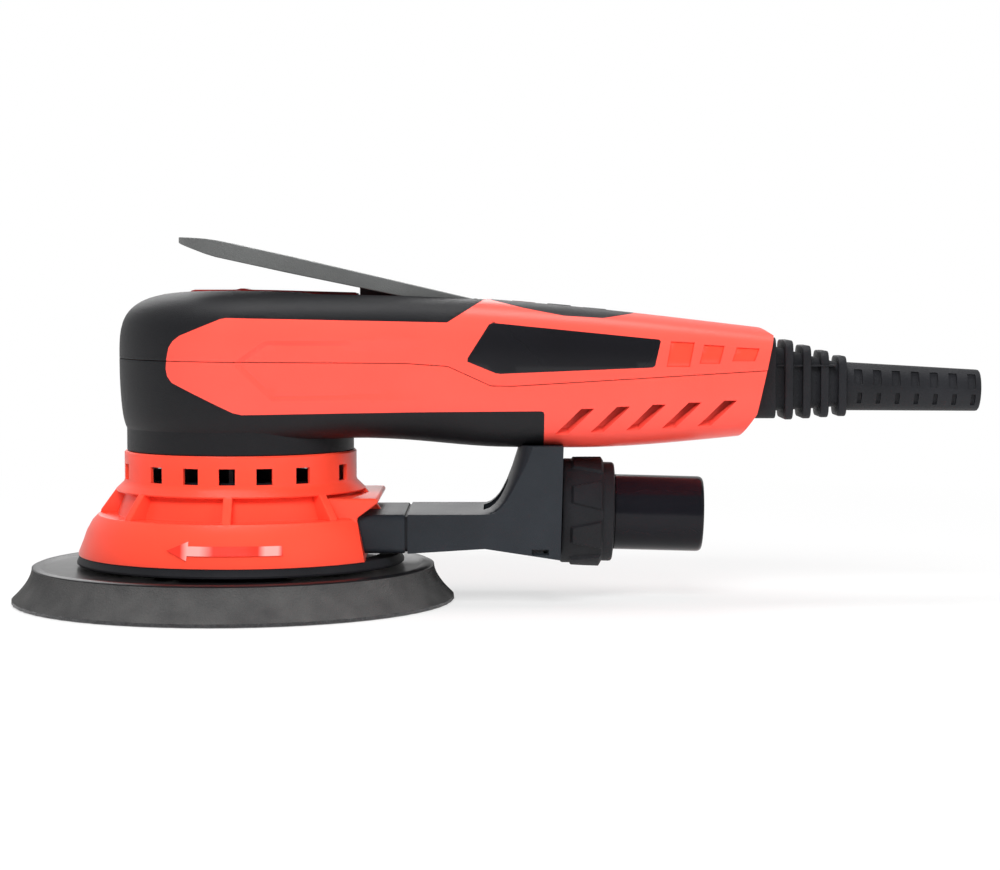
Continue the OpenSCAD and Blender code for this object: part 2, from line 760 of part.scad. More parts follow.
// Plan of the lever (x, y), grown by g
function lever_plan(g) =
    let (tip = hinge_x - lever_l, half = lever_w / 2,
         nose = [for (a = [90:10:270]) [tip + 16 + (16 + g) * cos(a), (half + g) * sin(a)]],
         flank = [[hinge_x - 46, half - 4.5 + g], [hinge_x - 22, hinge_w / 2 + g],
                  [hinge_x + 2.6 + g, hinge_w / 2 + g]])
    concat(nose, [for (p = flank) [p[0], -p[1]]], [for (i = [2:-1:0]) flank[i]]);

// Side outline between two offsets of the lever's line, from distance d0 to d1
function lever_side(d0, d1, up, down) =
    let (ds = [for (i = [0:12]) d0 + (d1 - d0) * i / 12])
    concat([for (d = ds) [hinge_x - d, hinge_z + lever_line(d) + lever_half(d) - up]],
        [for (i = [12:-1:0]) let (d = ds[i]) [hinge_x - d, hinge_z + lever_line(d) - lever_half(d) - down]]);

// Room that the pressed lever needs in the top of the housing
module lever_well() {
    well = lever_side(-4, 60, -30, 0.5);
    intersection() {
        translate([hinge_x, 0, hinge_z]) rotate([0, -lever_travel, 0])
            translate([-hinge_x, 0, -hinge_z]) side_prism(well, 60);
        translate([0, 0, hinge_z - 8]) linear_extrude(40) polygon(lever_plan(0.7));
        translate([-10, -60, 0]) cube([100, 120, 200]);
    }
    translate([hinge_x - 6, -hinge_w / 2 - gap, hinge_z - 3.2]) cube([10, hinge_w + 2 * gap, 20]);
}

// Plunger's guide: a box around it, with cheeks below that hold the switch
module plunger_guide() {
    l = plunger_l + 2 * gap + 2 * guide_t;
    w = plunger_w + 2 * gap + 2 * guide_t;
    roof = lookup(plunger_x, handle_top) - cavity_t + 0.4;
    translate([plunger_x - l / 2, -w / 2, guide_floor - guide_t]) cube([l, w, roof - guide_floor + guide_t]);
    for (side = [-1, 1]) translate([plunger_x - 10, side * (switch_w / 2 + slip + 0.8) - 0.8, switch_top - 7])
        cube([20, 1.6, guide_floor - switch_top + 7]);
}

module plunger_guide_hollow() {
    translate([plunger_x - plunger_l / 2 - gap, -plunger_w / 2 - gap, guide_floor])
        cube([plunger_l + 2 * gap, plunger_w + 2 * gap, 40]);
    translate([plunger_x, 0, guide_floor - 5]) cylinder(d = stem_d + 2 * gap, h = 20, $fn = 32);
}

// Everything that the top of the housing is pierced by
module top_openings() {
    lever_well();
    plunger_guide_hollow();
    translate([hinge_x, 0, hinge_z]) rotate([90, 0, 0])
        cylinder(d = hinge_pin_d + slip, h = hinge_w + 9, center = true, $fn = 32);
    for (x = key_x) on_panel(x) {
        translate([0, 0, -20]) cylinder(d = key_stem_d + 2 * gap, h = 40, $fn = 32);
        translate([0, 0, -key_rim - key_travel - gap]) cylinder(d = key_d + 2 * gap, h = 12);
    }
}

key_rim = 0.5;
key_stem_d = 3.4;
key_board_drop = 9.5;

module upper_shell() {
    seat_z = upper_bearing_z;
    color(red) difference() {
        union() {
            intersection() {
                difference() {
                    hard_shell();
                    cavity();
                }
                above_parting();
            }
            translate([0, 0, seat_z]) cylinder(d = upper_bearing_d + 5, h = top_z - cavity_t - seat_z + 0.6);
            plunger_guide();
            intersection() {
                union() {
                    on_towers(tower_floor) cylinder(d = tower_d, h = 60, $fn = 32);
                    translate([hinge_x - 8, -hinge_w / 2 - 4, hinge_z - 5]) cube([14, hinge_w + 8, 10]);
                }
                body_form(grip_t);
                above_parting();
            }
            for (dx = [-20, 20]) on_panel(key_x[1]) translate([dx, 0, -key_board_drop])
                cylinder(d = 4, h = 6, $fn = 32);
        }
        translate([0, 0, seat_z - 1]) cylinder(r = upper_bearing_d / 2 + slip / 2, h = bearing_h + 1.4);
        on_towers(tower_floor) cylinder(d = 3, h = 30, $fn = 32);
        top_openings();
        behind_rear(0);
        on_gland() translate([0, 0, -22]) cylinder(d = gland_bore_d + 2 * slip, h = 40);
    }
}

module upper_grip() {
    color(black) difference() {
        intersection() {
            body_form(0);
            above_parting();
        }
        body_form(grip_t);
        side_prism(red_zone, 80);
        side_prism(panel_zone, 80);
        top_openings();
    }
}

// Plain plates let into both sides of the handle
module side_labels() {
    color(black) intersection() {
        difference() {
            body_form(0.15);
            body_form(grip_t);
        }
        label_prism(-slip);
    }
}

module control_panel() {
    color(black) difference() {
        intersection() {
            body_form(0);
            side_prism(panel_zone, 80);
        }
        body_form(grip_t);
        for (x = key_x) on_panel(x) translate([0, 0, -6]) cylinder(d = key_d + 2 * gap, h = 12);
    }
}

module housing_screws() {
    color(steel) on_towers(tower_floor) {
        cylinder(d = 6, h = 2.4, $fn = 32);
        cylinder(d = 2.9, h = 28, $fn = 32);
    }
}

// ---------------------------------------------------------------- keys and lever

// Round key cap on a stem, with a dished top
module key(x) {
    on_panel(x) difference() {
        union() {
            translate([0, 0, -key_rim]) cylinder(d = key_d, h = key_rim + key_proud);
            translate([0, 0, -key_board_drop + 3]) cylinder(d = key_stem_d, h = key_board_drop - 3, $fn = 32);
        }
        translate([0, 0, key_proud + 11.7]) sphere(d = 24);
    }
}

module power_key() {
    color("#7a1f1c") key(key_x[0]);
}

module slower_key() {
    color(grey) key(key_x[1]);
}

module faster_key() {
    color(grey) key(key_x[2]);
}

// Small circuit board with one push switch under each key
module key_board() {
    color("#1d4a35") on_panel(key_x[1]) translate([0, 0, -key_board_drop - 1.6]) {
        translate([-23, -8, 0]) cube([46, 16, 1.6]);
        for (x = key_x) translate([x - key_x[1] - 3, -3, 1.6 - eps]) cube([6, 6, 1.8]);
    }
}

// Pressed sheet paddle with folded sides and a barrel round its pin
module lever() {
    color(grey) difference() {
        union() {
            difference() {
                intersection() {
                    side_prism(lever_side(-2.4, lever_l, 0, 0), 60);
                    linear_extrude(300) polygon(lever_plan(0));
                }
                intersection() {
                    side_prism(lever_side(7, lever_l - 1, lever_t, 10), 60);
                    linear_extrude(300) polygon(lever_plan(-lever_t));
                }
            }
            translate([hinge_x, 0, hinge_z]) rotate([90, 0, 0])
                cylinder(d = 5.4, h = hinge_w, center = true, $fn = 32);
        }
        translate([hinge_x, 0, hinge_z]) rotate([90, 0, 0])
            cylinder(d = hinge_pin_d + 2 * run_fit, h = 60, center = true, $fn = 32);
    }
}

module lever_pin() {
    color(steel) translate([hinge_x, 0, hinge_z]) rotate([90, 0, 0])
        cylinder(d = hinge_pin_d, h = hinge_w + 8, center = true, $fn = 32);
}

// Block that the lever pushes down; its crest clears the lever over the whole stroke
module switch_plunger() {
    front = plunger_x - plunger_l / 2;
    back = plunger_x + plunger_l / 2;
    color(black) {
        side_prism([[front, plunger_foot], [back, plunger_foot], [back, plunger_top - 2.3],
            [plunger_x + 3, plunger_top - 0.7], [plunger_x, plunger_top], [front, plunger_top + 0.4]],
            plunger_w / 2);
        translate([plunger_x, 0, guide_floor - guide_t - 2])
            cylinder(d = stem_d, h = plunger_foot - guide_floor + guide_t + 2 + eps, $fn = 32);
    }
}

// Wire swept along a helix
module coil_spring(r, wire, h, turns) {
    n = 12;
    sides = 6;
    count = round(turns * n);
    points = [for (i = [0:count]) let (a = 360 * i / n, z = wire / 2 + (h - wire) * i / count)
        for (k = [0:sides - 1]) let (b = 360 * k / sides, q = r + wire / 2 * cos(b))
            [q * cos(a), q * sin(a), z + wire / 2 * sin(b)]];
    skin = [for (i = [0:count - 1]) for (k = [0:sides - 1]) let (l = (k + 1) % sides)
        [i * sides + k, (i + 1) * sides + k, (i + 1) * sides + l, i * sides + l]];
    ends = [[for (k = [0:sides - 1]) k], [for (k = [sides - 1:-1:0]) count * sides + k]];
    polyhedron(points, concat(skin, ends), convexity = 8);
}

module plunger_spring() {
    color(steel) translate([plunger_x, 0, guide_floor + eps])
        coil_spring(stem_d / 2 + 1.6, 1, plunger_foot - guide_floor - 2 * eps, 3);
}

module trigger_switch() {
    color(rubber) translate([plunger_x, 0, switch_top - 1.2]) {
        translate([-switch_l / 2, -switch_w / 2, -switch_h]) cube([switch_l, switch_w, switch_h]);
        cylinder(d = 3, h = 1.2, $fn = 32);
        for (x = [-6, 0, 6]) translate([x - 0.4, -1.6, -switch_h - 5]) cube([0.8, 3.2, 5 + eps]);
    }
}

// ---------------------------------------------------------------- electronics

module controller_board() {
    color("#1d4a35") difference() {
        translate([board_x[0], -board_w / 2, board_z]) cube([board_x[1] - board_x[0], board_w, board_t]);
        on_board_posts(board_z - 1) cylinder(d = 2.8, h = 4, $fn = 32);
    }
}

// Along the board from its front: capacitors, heat sink, terminal block
board_end = 5;
cap_d = 16;
cap_l = (board_x[1] - board_x[0]) * 0.366;
terminal_size = [8, 18, 10];
terminal_x = board_x[1] - board_end - terminal_size[0];
sink_gap = 3;
sink_x = board_x[0] + board_end + cap_l + sink_gap;
sink_size = [terminal_x - sink_gap - sink_x, 28, 12];
sink_fins = 5;
sink_pitch = sink_size[1] / 5.8;
sink_floor = sink_size[2] / 4;

module capacitors() {
    color("#20304a") for (side = [-1, 1])
        translate([board_x[0] + board_end, side * (cap_d / 2 + 0.6), board_z + board_t + cap_d / 2 + 0.05])
            rotate([0, 90, 0]) cylinder(d = cap_d, h = cap_l);
}

// Finned block that cools the power stage
module heat_sink() {
    color(alloy) translate([sink_x, -sink_size[1] / 2, board_z + board_t]) difference() {
        cube(sink_size);
        for (i = [0:sink_fins - 1])
            translate([-1, sink_size[1] / 2 + (i - sink_fins / 2 + 0.25) * sink_pitch, sink_floor])
                cube([sink_size[0] + 2, sink_pitch / 2, sink_size[2]]);
    }
}

module terminal_block() {
    color("#d8d8d2") translate([terminal_x, -terminal_size[1] / 2, board_z + board_t]) difference() {
        cube(terminal_size);
        for (i = [0:2]) translate([terminal_size[0] / 2, (i + 0.5) * terminal_size[1] / 3, 4])
            cylinder(d = 3.6, h = 8, $fn = 32);
    }
}

clamp_t = 3;

module cable_clamp() {
    color(black) translate([clamp_x, 0, clamp_z]) difference() {
        translate([-4, -clamp_y - 3, 0]) cube([8, 2 * clamp_y + 6, clamp_t]);
        for (side = [-1, 1]) translate([0, side * clamp_y, -1]) cylinder(d = 3.2, h = 6, $fn = 32);
        translate([-5, 0, -2]) rotate([0, 90, 0]) cylinder(d = cord_bore, h = 10, $fn = 32);
    }
}

module clamp_screws() {
    color(steel) for (side = [-1, 1]) translate([clamp_x, side * clamp_y, clamp_z + clamp_t]) {
        cylinder(d = 5.4, h = 1.8, $fn = 32);
        translate([0, 0, -9.5]) cylinder(d = 2.5, h = 9.6, $fn = 32);
    }
}

// ---------------------------------------------------------------- dust duct and hose port

// Prism along x from a flat outline (y, z)
module along_x(x, l) {
    translate([x, 0, 0]) rotate([90, 0, 90]) linear_extrude(l) children();
}

duct_mid = duct_z + duct_h / 2;
seal_t = 0.8;
stub_start = recess_r - shroud_wall - 2;

module duct_stub() {
    color(black) difference() {
        along_x(stub_start, stub_end - stub_start) translate([0, duct_mid]) round_rect(duct_w, duct_h, 2);
        along_x(stub_start - 1, stub_end - stub_start + 2) translate([0, duct_mid])
            square([duct_w - 2 * duct_wall, duct_h - 2 * duct_wall], center = true);
        translate([0, 0, duct_z - 1]) cylinder(r = recess_r - shroud_wall - 1, h = duct_h + 2, $fn = 96);
    }
}

module duct_seal() {
    color(rubber) difference() {
        along_x(stub_end, seal_t) translate([0, duct_mid]) round_rect(duct_w - 1.2, duct_h - 1.2, 1.6);
        along_x(stub_end - 1, seal_t + 2) translate([0, duct_mid])
            square([duct_w - 2 * duct_wall, duct_h - 2 * duct_wall], center = true);
    }
}

nozzle_r = spigot_d / 2 + 1.9;
nozzle_l = 8;
seal_d = 1.6;

// Side outline of the duct: a flat channel that turns up into the strut under the handle
duct_side = [[stub_end + seal_t, duct_z], [83, duct_z + 1.6], [duct_end + 4, duct_z - 2.9],
    [duct_end + 4, head_z - 5.6], [94.8, head_z - 5.6], [94.6, head_z - 6.5], [92.6, head_z - 12.6],
    [90, head_z - 19.4], [88, duct_z + duct_h + 3.4], [85.4, duct_z + duct_h + 1.2],
    [81.4, duct_z + duct_h], [stub_end + seal_t, duct_z + duct_h]];

module dust_duct() {
    color(black) difference() {
        union() {
            difference() {
                side_prism(duct_side, duct_w / 2);
                body_form(-slip);
                on_port() translate([-60, -60, 0]) cube([120, 120, 40]);
            }
            on_port() translate([0, 0, -2]) cylinder(r = nozzle_r, h = nozzle_l + 2);
        }
        along_x(stub_end, 88 - stub_end) translate([0, duct_mid])
            square([duct_w - 2 * duct_wall, duct_h - 2 * duct_wall], center = true);
        on_port() translate([0, 0, -26]) cylinder(d = spigot_bore, h = 60);
    }
}

// O-ring that seals the spigot and lets it turn
module collar_seal() {
    color(rubber) on_port() translate([0, 0, nozzle_l + seal_d / 2 + eps]) rotate_extrude()
        translate([nozzle_r - 1.7, 0]) circle(d = seal_d, $fn = 24);
}

spigot_flange_z = nozzle_l + seal_d + 0.3;
collar_lip = 3;

// Ring that traps the spigot's flange; pockets round it give a grip
module locking_collar() {
    color(rubber) on_port() difference() {
        union() {
            translate([0, 0, gap]) cylinder(d1 = collar_d - 1.2, d2 = collar_d, h = 0.8);
            translate([0, 0, gap + 0.8]) cylinder(d = collar_d, h = collar_l - collar_step - 0.8);
            translate([0, 0, gap]) cylinder(d = collar_d - 1.8, h = collar_l - 0.8);
            translate([0, 0, gap + collar_l - 0.8])
                cylinder(d1 = collar_d - 1.8, d2 = collar_d - 3.4, h = 0.8);
        }
        translate([0, 0, -1]) cylinder(r = nozzle_r + gap, h = collar_l - collar_lip + 1 + gap);
        translate([0, 0, -1]) cylinder(d = spigot_d + 2 * gap, h = collar_l + 4);
        for (a = [22.5:45:359]) rotate(a) translate([collar_d / 2 - 1.2, 0, gap + 3.4]) rotate([0, 90, 0])
            linear_extrude(4) polygon([[0, -3.2], [0, 3.2], [-collar_l, 5.6], [-collar_l, -5.6]]);
    }
}

// The tube is relieved inside the collar, so a hose slides up to the collar's face
module hose_spigot() {
    flange_l = collar_l - collar_lip - spigot_flange_z - 0.3 + gap;
    relief_end = collar_l + 2 * gap;
    color(rubber) on_port() difference() {
        union() {
            translate([0, 0, spigot_flange_z]) cylinder(r = nozzle_r, h = flange_l);
            translate([0, 0, spigot_flange_z])
                cylinder(d = spigot_d - 0.6, h = relief_end - spigot_flange_z + eps);
            translate([0, 0, relief_end]) cylinder(d = spigot_d, h = collar_l + spigot_l - relief_end - 0.8);
            translate([0, 0, collar_l + spigot_l - 0.8])
                cylinder(d1 = spigot_d, d2 = spigot_d - 1.4, h = 0.8);
        }
        cylinder(d = spigot_bore, h = 100);
    }
}

// ---------------------------------------------------------------- cord entry

// Square-ribbed rubber bush, trapped in the rear wall by the inner collar
module cord_gland() {
    color(rubber) difference() {
        union() {
            intersection() {
                along_x(body_l - 16, gland_face - body_l + 16) translate([0, gland_z + 0.2])
                    round_rect(gland_w, gland_h + 0.6, 4);
                behind_rear(0);
            }
            on_gland() translate([0, 0, -20]) cylinder(d = gland_bore_d, h = 20);
            on_gland() translate([0, 0, -1]) cylinder(d = 14.6, h = gland_ribs * gland_pitch);
            difference() {
                on_gland() translate([0, 0, -20]) cylinder(d = gland_bore_d + 5, h = 14);
                behind_rear(wall_t + 1.1);
            }
            for (i = [0:gland_ribs - 1])
                along_x(gland_face + (i + 1) * gland_pitch - 3.1, 2.8)
                    translate([0, gland_z - 0.5 - 0.73 * i])
                    round_rect(gland_w - 2.1 * i, gland_h - 2.1 * i, 4);
        }
        on_gland() translate([0, 0, -60]) cylinder(d = cord_bore, h = 61 + gland_ribs * gland_pitch);
        on_sleeve() translate([-gland_w, -gland_w, 0]) cube(2 * gland_w);
    }
}

// Frame of the sleeve: z along it, from its seat on the gland
module on_sleeve() {
    translate([sleeve_x, 0, sleeve_z]) rotate([0, 90 + sleeve_tilt, 0]) children();
}

// Tapered sleeve with two crossed rows of slots that let it bend
module cord_sleeve() {
    pitch = (sleeve_l - 3) / sleeve_slots;
    color(rubber) on_sleeve() difference() {
        cylinder(d1 = sleeve_d, d2 = sleeve_tip_d, h = sleeve_l);
        translate([0, 0, -1]) cylinder(d = cord_bore, h = sleeve_l + 2);
        for (i = [0:sleeve_slots - 1]) {
            translate([-1.4, -20, 1.2 + i * pitch]) cube([2.8, 40, pitch - 2.2]);
            if (i > 0) translate([-20, -2.8, i * pitch - 1.2]) cube([40, 5.6, pitch - 3.2]);
        }
    }
}

hook_face();
foam_pad();
pad_plate();
pad_screw();
pad_spindle();
retaining_ring();
spindle_bearings();
eccentric_hub();
cooling_fan();
rotor_shaft();
rotor_core();
rotor_magnets();
lower_bearing();
upper_bearing();
motor_bracket();
stator_core();
stator_coils();
bracket_screws();
brake_skirt();
shroud();
lower_shell();
lower_grip();
upper_shell();
upper_grip();
side_labels();
control_panel();
power_key();
slower_key();
faster_key();
key_board();
lever();
lever_pin();
switch_plunger();
plunger_spring();
trigger_switch();
controller_board();
capacitors();
heat_sink();
terminal_block();
cable_clamp();
clamp_screws();
housing_screws();
duct_stub();
duct_seal();
dust_duct();
locking_collar();
collar_seal();
hose_spigot();
cord_gland();
cord_sleeve();
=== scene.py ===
# Random-orbit sander, dressed round its packed construction: every piece in the order of assembly.
import bpy
import bmesh
import math
from mathutils import Matrix, Vector


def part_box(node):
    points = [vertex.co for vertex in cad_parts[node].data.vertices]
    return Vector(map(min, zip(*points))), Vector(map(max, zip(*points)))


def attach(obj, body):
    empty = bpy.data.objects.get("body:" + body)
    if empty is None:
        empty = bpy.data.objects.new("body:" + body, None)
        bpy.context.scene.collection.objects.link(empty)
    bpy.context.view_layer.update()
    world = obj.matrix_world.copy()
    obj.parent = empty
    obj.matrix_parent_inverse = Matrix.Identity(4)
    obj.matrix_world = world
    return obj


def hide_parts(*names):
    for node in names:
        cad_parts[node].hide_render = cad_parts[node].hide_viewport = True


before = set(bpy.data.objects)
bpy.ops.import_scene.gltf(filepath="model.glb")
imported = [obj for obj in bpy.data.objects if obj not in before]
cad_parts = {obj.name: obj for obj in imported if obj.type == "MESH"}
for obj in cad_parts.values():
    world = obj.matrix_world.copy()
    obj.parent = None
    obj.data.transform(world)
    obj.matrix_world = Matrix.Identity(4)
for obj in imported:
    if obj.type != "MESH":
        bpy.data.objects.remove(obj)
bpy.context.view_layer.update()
MM = 0.001

# ---------------------------------------------------------------- studio
# A pale floor and a white surround, soft lamps in front and above, and a long lens level with the
# top of the tool. The sander stands on its pad, side on, with the cord to the right.
bpy.context.scene.view_settings.view_transform = "Standard"


def new_mesh_object(name):
    """The object that the last operator added, renamed."""
    piece = bpy.context.object
    piece.name = name
    piece.data.name = name
    return piece


def node_material(name):
    """An empty material with its surface shader, its tree and a reading of Object coordinates."""
    material = bpy.data.materials.new(name)
    material.use_nodes = True
    tree = material.node_tree
    shader = tree.nodes["Principled BSDF"]
    place = tree.nodes.new("ShaderNodeTexCoord")
    return material, tree, shader, place


def add_node(tree, kind, values=None, **settings):
    """Adds a node with these settings and input values to a material's or the world's tree."""
    node = tree.nodes.new("ShaderNode" + kind)
    for name, setting in settings.items():
        setattr(node, name, setting)
    for socket, value in (values or {}).items():
        node.inputs[socket].default_value = value
    return node


def share_of(tree, value, share):
    """Multiplies a value of the tree by a number or by another of its values."""
    product = add_node(tree, "Math", operation="MULTIPLY")
    tree.links.new(value, product.inputs[0])
    if isinstance(share, float):
        product.inputs[1].default_value = share
    else:
        tree.links.new(share, product.inputs[1])
    return product.outputs[0]


def camera_white(tree, surface, share, mirrored_share):
    """Mixes plain white into what the camera and mirror-like surfaces see, and leaves the light alone."""
    path = add_node(tree, "LightPath")
    mirrored = add_node(tree, "Math", operation="MAXIMUM")
    tree.links.new(path.outputs["Is Glossy Ray"], mirrored.inputs[0])
    tree.links.new(path.outputs["Is Transmission Ray"], mirrored.inputs[1])
    seen = add_node(tree, "Math", operation="MAXIMUM")
    tree.links.new(path.outputs["Is Camera Ray"], seen.inputs[0])
    tree.links.new(share_of(tree, mirrored.outputs[0], mirrored_share), seen.inputs[1])
    glow_kind = "Emission" if surface.name.startswith("Principled") else "Background"
    glow = add_node(tree, glow_kind, {"Color": (1, 1, 1, 1), "Strength": 1})
    mix = add_node(tree, "MixShader")
    tree.links.new(share_of(tree, seen.outputs[0], share), mix.inputs["Fac"])
    tree.links.new(surface.outputs[0], mix.inputs[1])
    tree.links.new(glow.outputs[0], mix.inputs[2])
    return mix.outputs[0]


bpy.ops.mesh.primitive_plane_add(size=6, location=(0, 0, -0.0002))
floor = new_mesh_object("floor")
floor_paint, floor_tree, floor_shader, floor_place = node_material("floor_paint")
floor_shader.inputs["Base Color"].default_value = (0.86, 0.86, 0.86, 1)
floor_shader.inputs["Roughness"].default_value = 0.7
floor_shader.inputs["Specular IOR Level"].default_value = 0.1
# The shadow shows near the object, and the floor fades to white away from it
distance = add_node(floor_tree, "VectorMath", operation="LENGTH")
fade = add_node(floor_tree, "MapRange", {"From Min": 0.12, "From Max": 0.6, "To Min": 0.6})
floor_tree.links.new(floor_place.outputs["Object"], distance.inputs[0])
floor_tree.links.new(distance.outputs["Value"], fade.inputs["Value"])
floor_look = camera_white(floor_tree, floor_shader, fade.outputs["Result"], 0.45)
floor_tree.links.new(floor_look, floor_tree.nodes["Material Output"].inputs["Surface"])
floor.data.materials.append(floor_paint)

studio = bpy.data.worlds.new("studio")
bpy.context.scene.world = studio
studio.use_nodes = True
studio_tree = studio.node_tree
surround = studio_tree.nodes["Background"]
surround.inputs["Color"].default_value = (1, 1, 1, 1)
surround.inputs["Strength"].default_value = 0.2
# The room is white behind the object and dim in front of it, as a studio is
way = add_node(studio_tree, "TexCoord")
split = add_node(studio_tree, "SeparateXYZ")
room = add_node(studio_tree, "MapRange", {"From Min": -0.5, "From Max": 0.6, "To Min": 0.08, "To Max": 0.6})
studio_tree.links.new(way.outputs["Generated"], split.inputs["Vector"])
studio_tree.links.new(split.outputs["Y"], room.inputs["Value"])
studio_look = camera_white(studio_tree, surround, 1.0, room.outputs["Result"])
studio_tree.links.new(studio_look, studio_tree.nodes["World Output"].inputs["Surface"])


def soft_lamp(name, spot, target, width, height, watts):
    """A rectangular studio lamp that hangs at a spot and faces a target."""
    lamp = bpy.data.lights.new(name, "AREA")
    lamp.shape = "RECTANGLE"
    lamp.size = width
    lamp.size_y = height
    lamp.energy = watts
    holder = bpy.data.objects.new(name, lamp)
    bpy.context.scene.collection.objects.link(holder)
    holder.location = spot
    holder.rotation_euler = (Vector(target) - Vector(spot)).to_track_quat("-Z", "Y").to_euler()
    return holder


middle = (0.08, 0, 0.06)
front_lamp = soft_lamp("front_lamp", (-0.1, -1.2, 0.9), middle, 0.7, 0.5, 18.5)
side_lamp = soft_lamp("side_lamp", (0.95, -0.75, 0.55), middle, 0.5, 0.5, 4)
soft_lamp("top_lamp", (0.05, 0.05, 1.25), middle, 0.9, 0.4, 8)
soft_lamp("back_lamp", (-0.2, 1.1, 0.6), middle, 0.8, 0.5, 4)
for lamp in (front_lamp, side_lamp):
    lamp.visible_glossy = False

# The lens is long and stands well off, just under the height of the head's roof, tipped down a little.
# Its length and its drop are shares of the picture's width
camera = bpy.data.objects.new("camera", bpy.data.cameras.new("camera"))
bpy.context.scene.collection.objects.link(camera)
camera_x = 0.088
camera_height = 0.105
camera_range = 0.830
lens_share = 2.446
aim_drop = 0.145
camera.location = (camera_x, -camera_range, camera_height)
aim = Vector((camera_x, 0, camera_height - aim_drop / lens_share * camera_range))
camera.rotation_euler = (aim - camera.location).to_track_quat("-Z", "Y").to_euler()
camera.data.sensor_width = 36
camera.data.lens = camera.data.sensor_width * lens_share
bpy.context.scene.camera = camera

# ---------------------------------------------------------------- hook layer and foam pad
# The pad is a disc of soft open foam with a hook layer moulded to its face. Its flank sweeps out to
# a thin lower edge, its rim laps the backing plate, and fourteen dust holes run through it.
pad_low, pad_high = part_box("foam_pad")
pad_axis = ((pad_low.x + pad_high.x) / 2, 0)
pad_radius = (pad_high.x - pad_low.x) / 2
plate_low, plate_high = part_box("pad_plate")
plate_radius = (plate_high.x - plate_low.x) / 2
hook_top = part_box("hook_face")[1].z
foam_top = pad_high.z
# Rings of dust holes: the radius of the ring, the number of its holes and the turn of the first, in degrees
dust_rings = [(27 * MM, 6, 0), (45 * MM, 8, 22.5)]
dust_hole = 4.5 * MM


def select_none():
    """Leaves edit mode and deselects every object."""
    if bpy.context.object and bpy.context.object.mode == "EDIT":
        bpy.ops.object.mode_set(mode="OBJECT")
    bpy.ops.object.select_all(action="DESELECT")


def make_active(piece):
    """Selects one piece alone, for the operators that follow."""
    select_none()
    piece.select_set(True)
    bpy.context.view_layer.objects.active = piece


def apply_modifier(piece, kind, **settings):
    """Adds one modifier, gives it its settings and applies it."""
    make_active(piece)
    change = piece.modifiers.new(kind.lower(), kind)
    for key, value in settings.items():
        setattr(change, key, value)
    bpy.ops.object.modifier_apply(modifier=change.name)
    return piece


usual_merge = 0.01 * MM
fine_merge = 0.002 * MM


def clean_up(piece, smooth_angle=32, merge=usual_merge):
    """Merges doubles closer than merge, turns the faces outwards and smooths all but the sharp edges."""
    make_active(piece)
    bpy.ops.object.mode_set(mode="EDIT")
    bpy.ops.mesh.select_all(action="SELECT")
    if merge:
        bpy.ops.mesh.remove_doubles(threshold=merge)
    bpy.ops.mesh.normals_make_consistent(inside=False)
    bpy.ops.object.mode_set(mode="OBJECT")
    bpy.ops.object.shade_smooth_by_angle(angle=math.radians(smooth_angle))
    return piece


def turned(name, section, centre=(0, 0), steps=128):
    """A closed section of (radius, height) points, spun a full turn round an upright axis."""
    select_none()
    bpy.ops.mesh.primitive_circle_add(vertices=len(section), radius=0.01, fill_type="NOTHING")
    piece = new_mesh_object(name)
    for vertex, (radius, height) in zip(piece.data.vertices, section):
        vertex.co = (centre[0] + radius, centre[1], height)
    bpy.ops.object.mode_set(mode="EDIT")
    bpy.ops.mesh.select_all(action="SELECT")
    bpy.ops.mesh.spin(steps=steps, angle=math.tau, center=(centre[0], centre[1], 0), axis=(0, 0, 1))
    bpy.ops.object.mode_set(mode="OBJECT")
    return clean_up(piece)


def cut_with(piece, cutter, operation="DIFFERENCE"):
    """A boolean with another piece, which is then removed."""
    apply_modifier(piece, "BOOLEAN", operation=operation, object=cutter, solver="MANIFOLD")
    bpy.data.objects.remove(cutter)
    return piece


def dust_drills(low, high):
    """One mesh of fourteen upright drills at the dust holes."""
    drills = []
    for ring_radius, count, first in dust_rings:
        for i in range(count):
            angle = math.radians(first + 360 / count * i)
            x = pad_axis[0] + ring_radius * math.cos(angle)
            y = ring_radius * math.sin(angle)
            select_none()
            bpy.ops.mesh.primitive_cylinder_add(vertices=32, radius=dust_hole, depth=high - low,
                                                location=(x, y, (low + high) / 2))
            drills.append(bpy.context.object)
    for drill in drills:
        drill.select_set(True)
    bpy.ops.object.join()
    bpy.ops.object.transform_apply(location=True)
    return new_mesh_object("dust_drills")


def tone_ramp(tree, stops):
    """A colour ramp through (position, colour) stops that are given from left to right."""
    ramp = add_node(tree, "ValToRGB")
    marks = ramp.color_ramp.elements
    marks[0].position = stops[0][0]
    marks[1].position = stops[-1][0]
    for position, _ in stops[1:-1]:
        marks.new(position)
    for mark, (_, colour) in zip(marks, stops):
        mark.color = (*colour, 1)
    return ramp


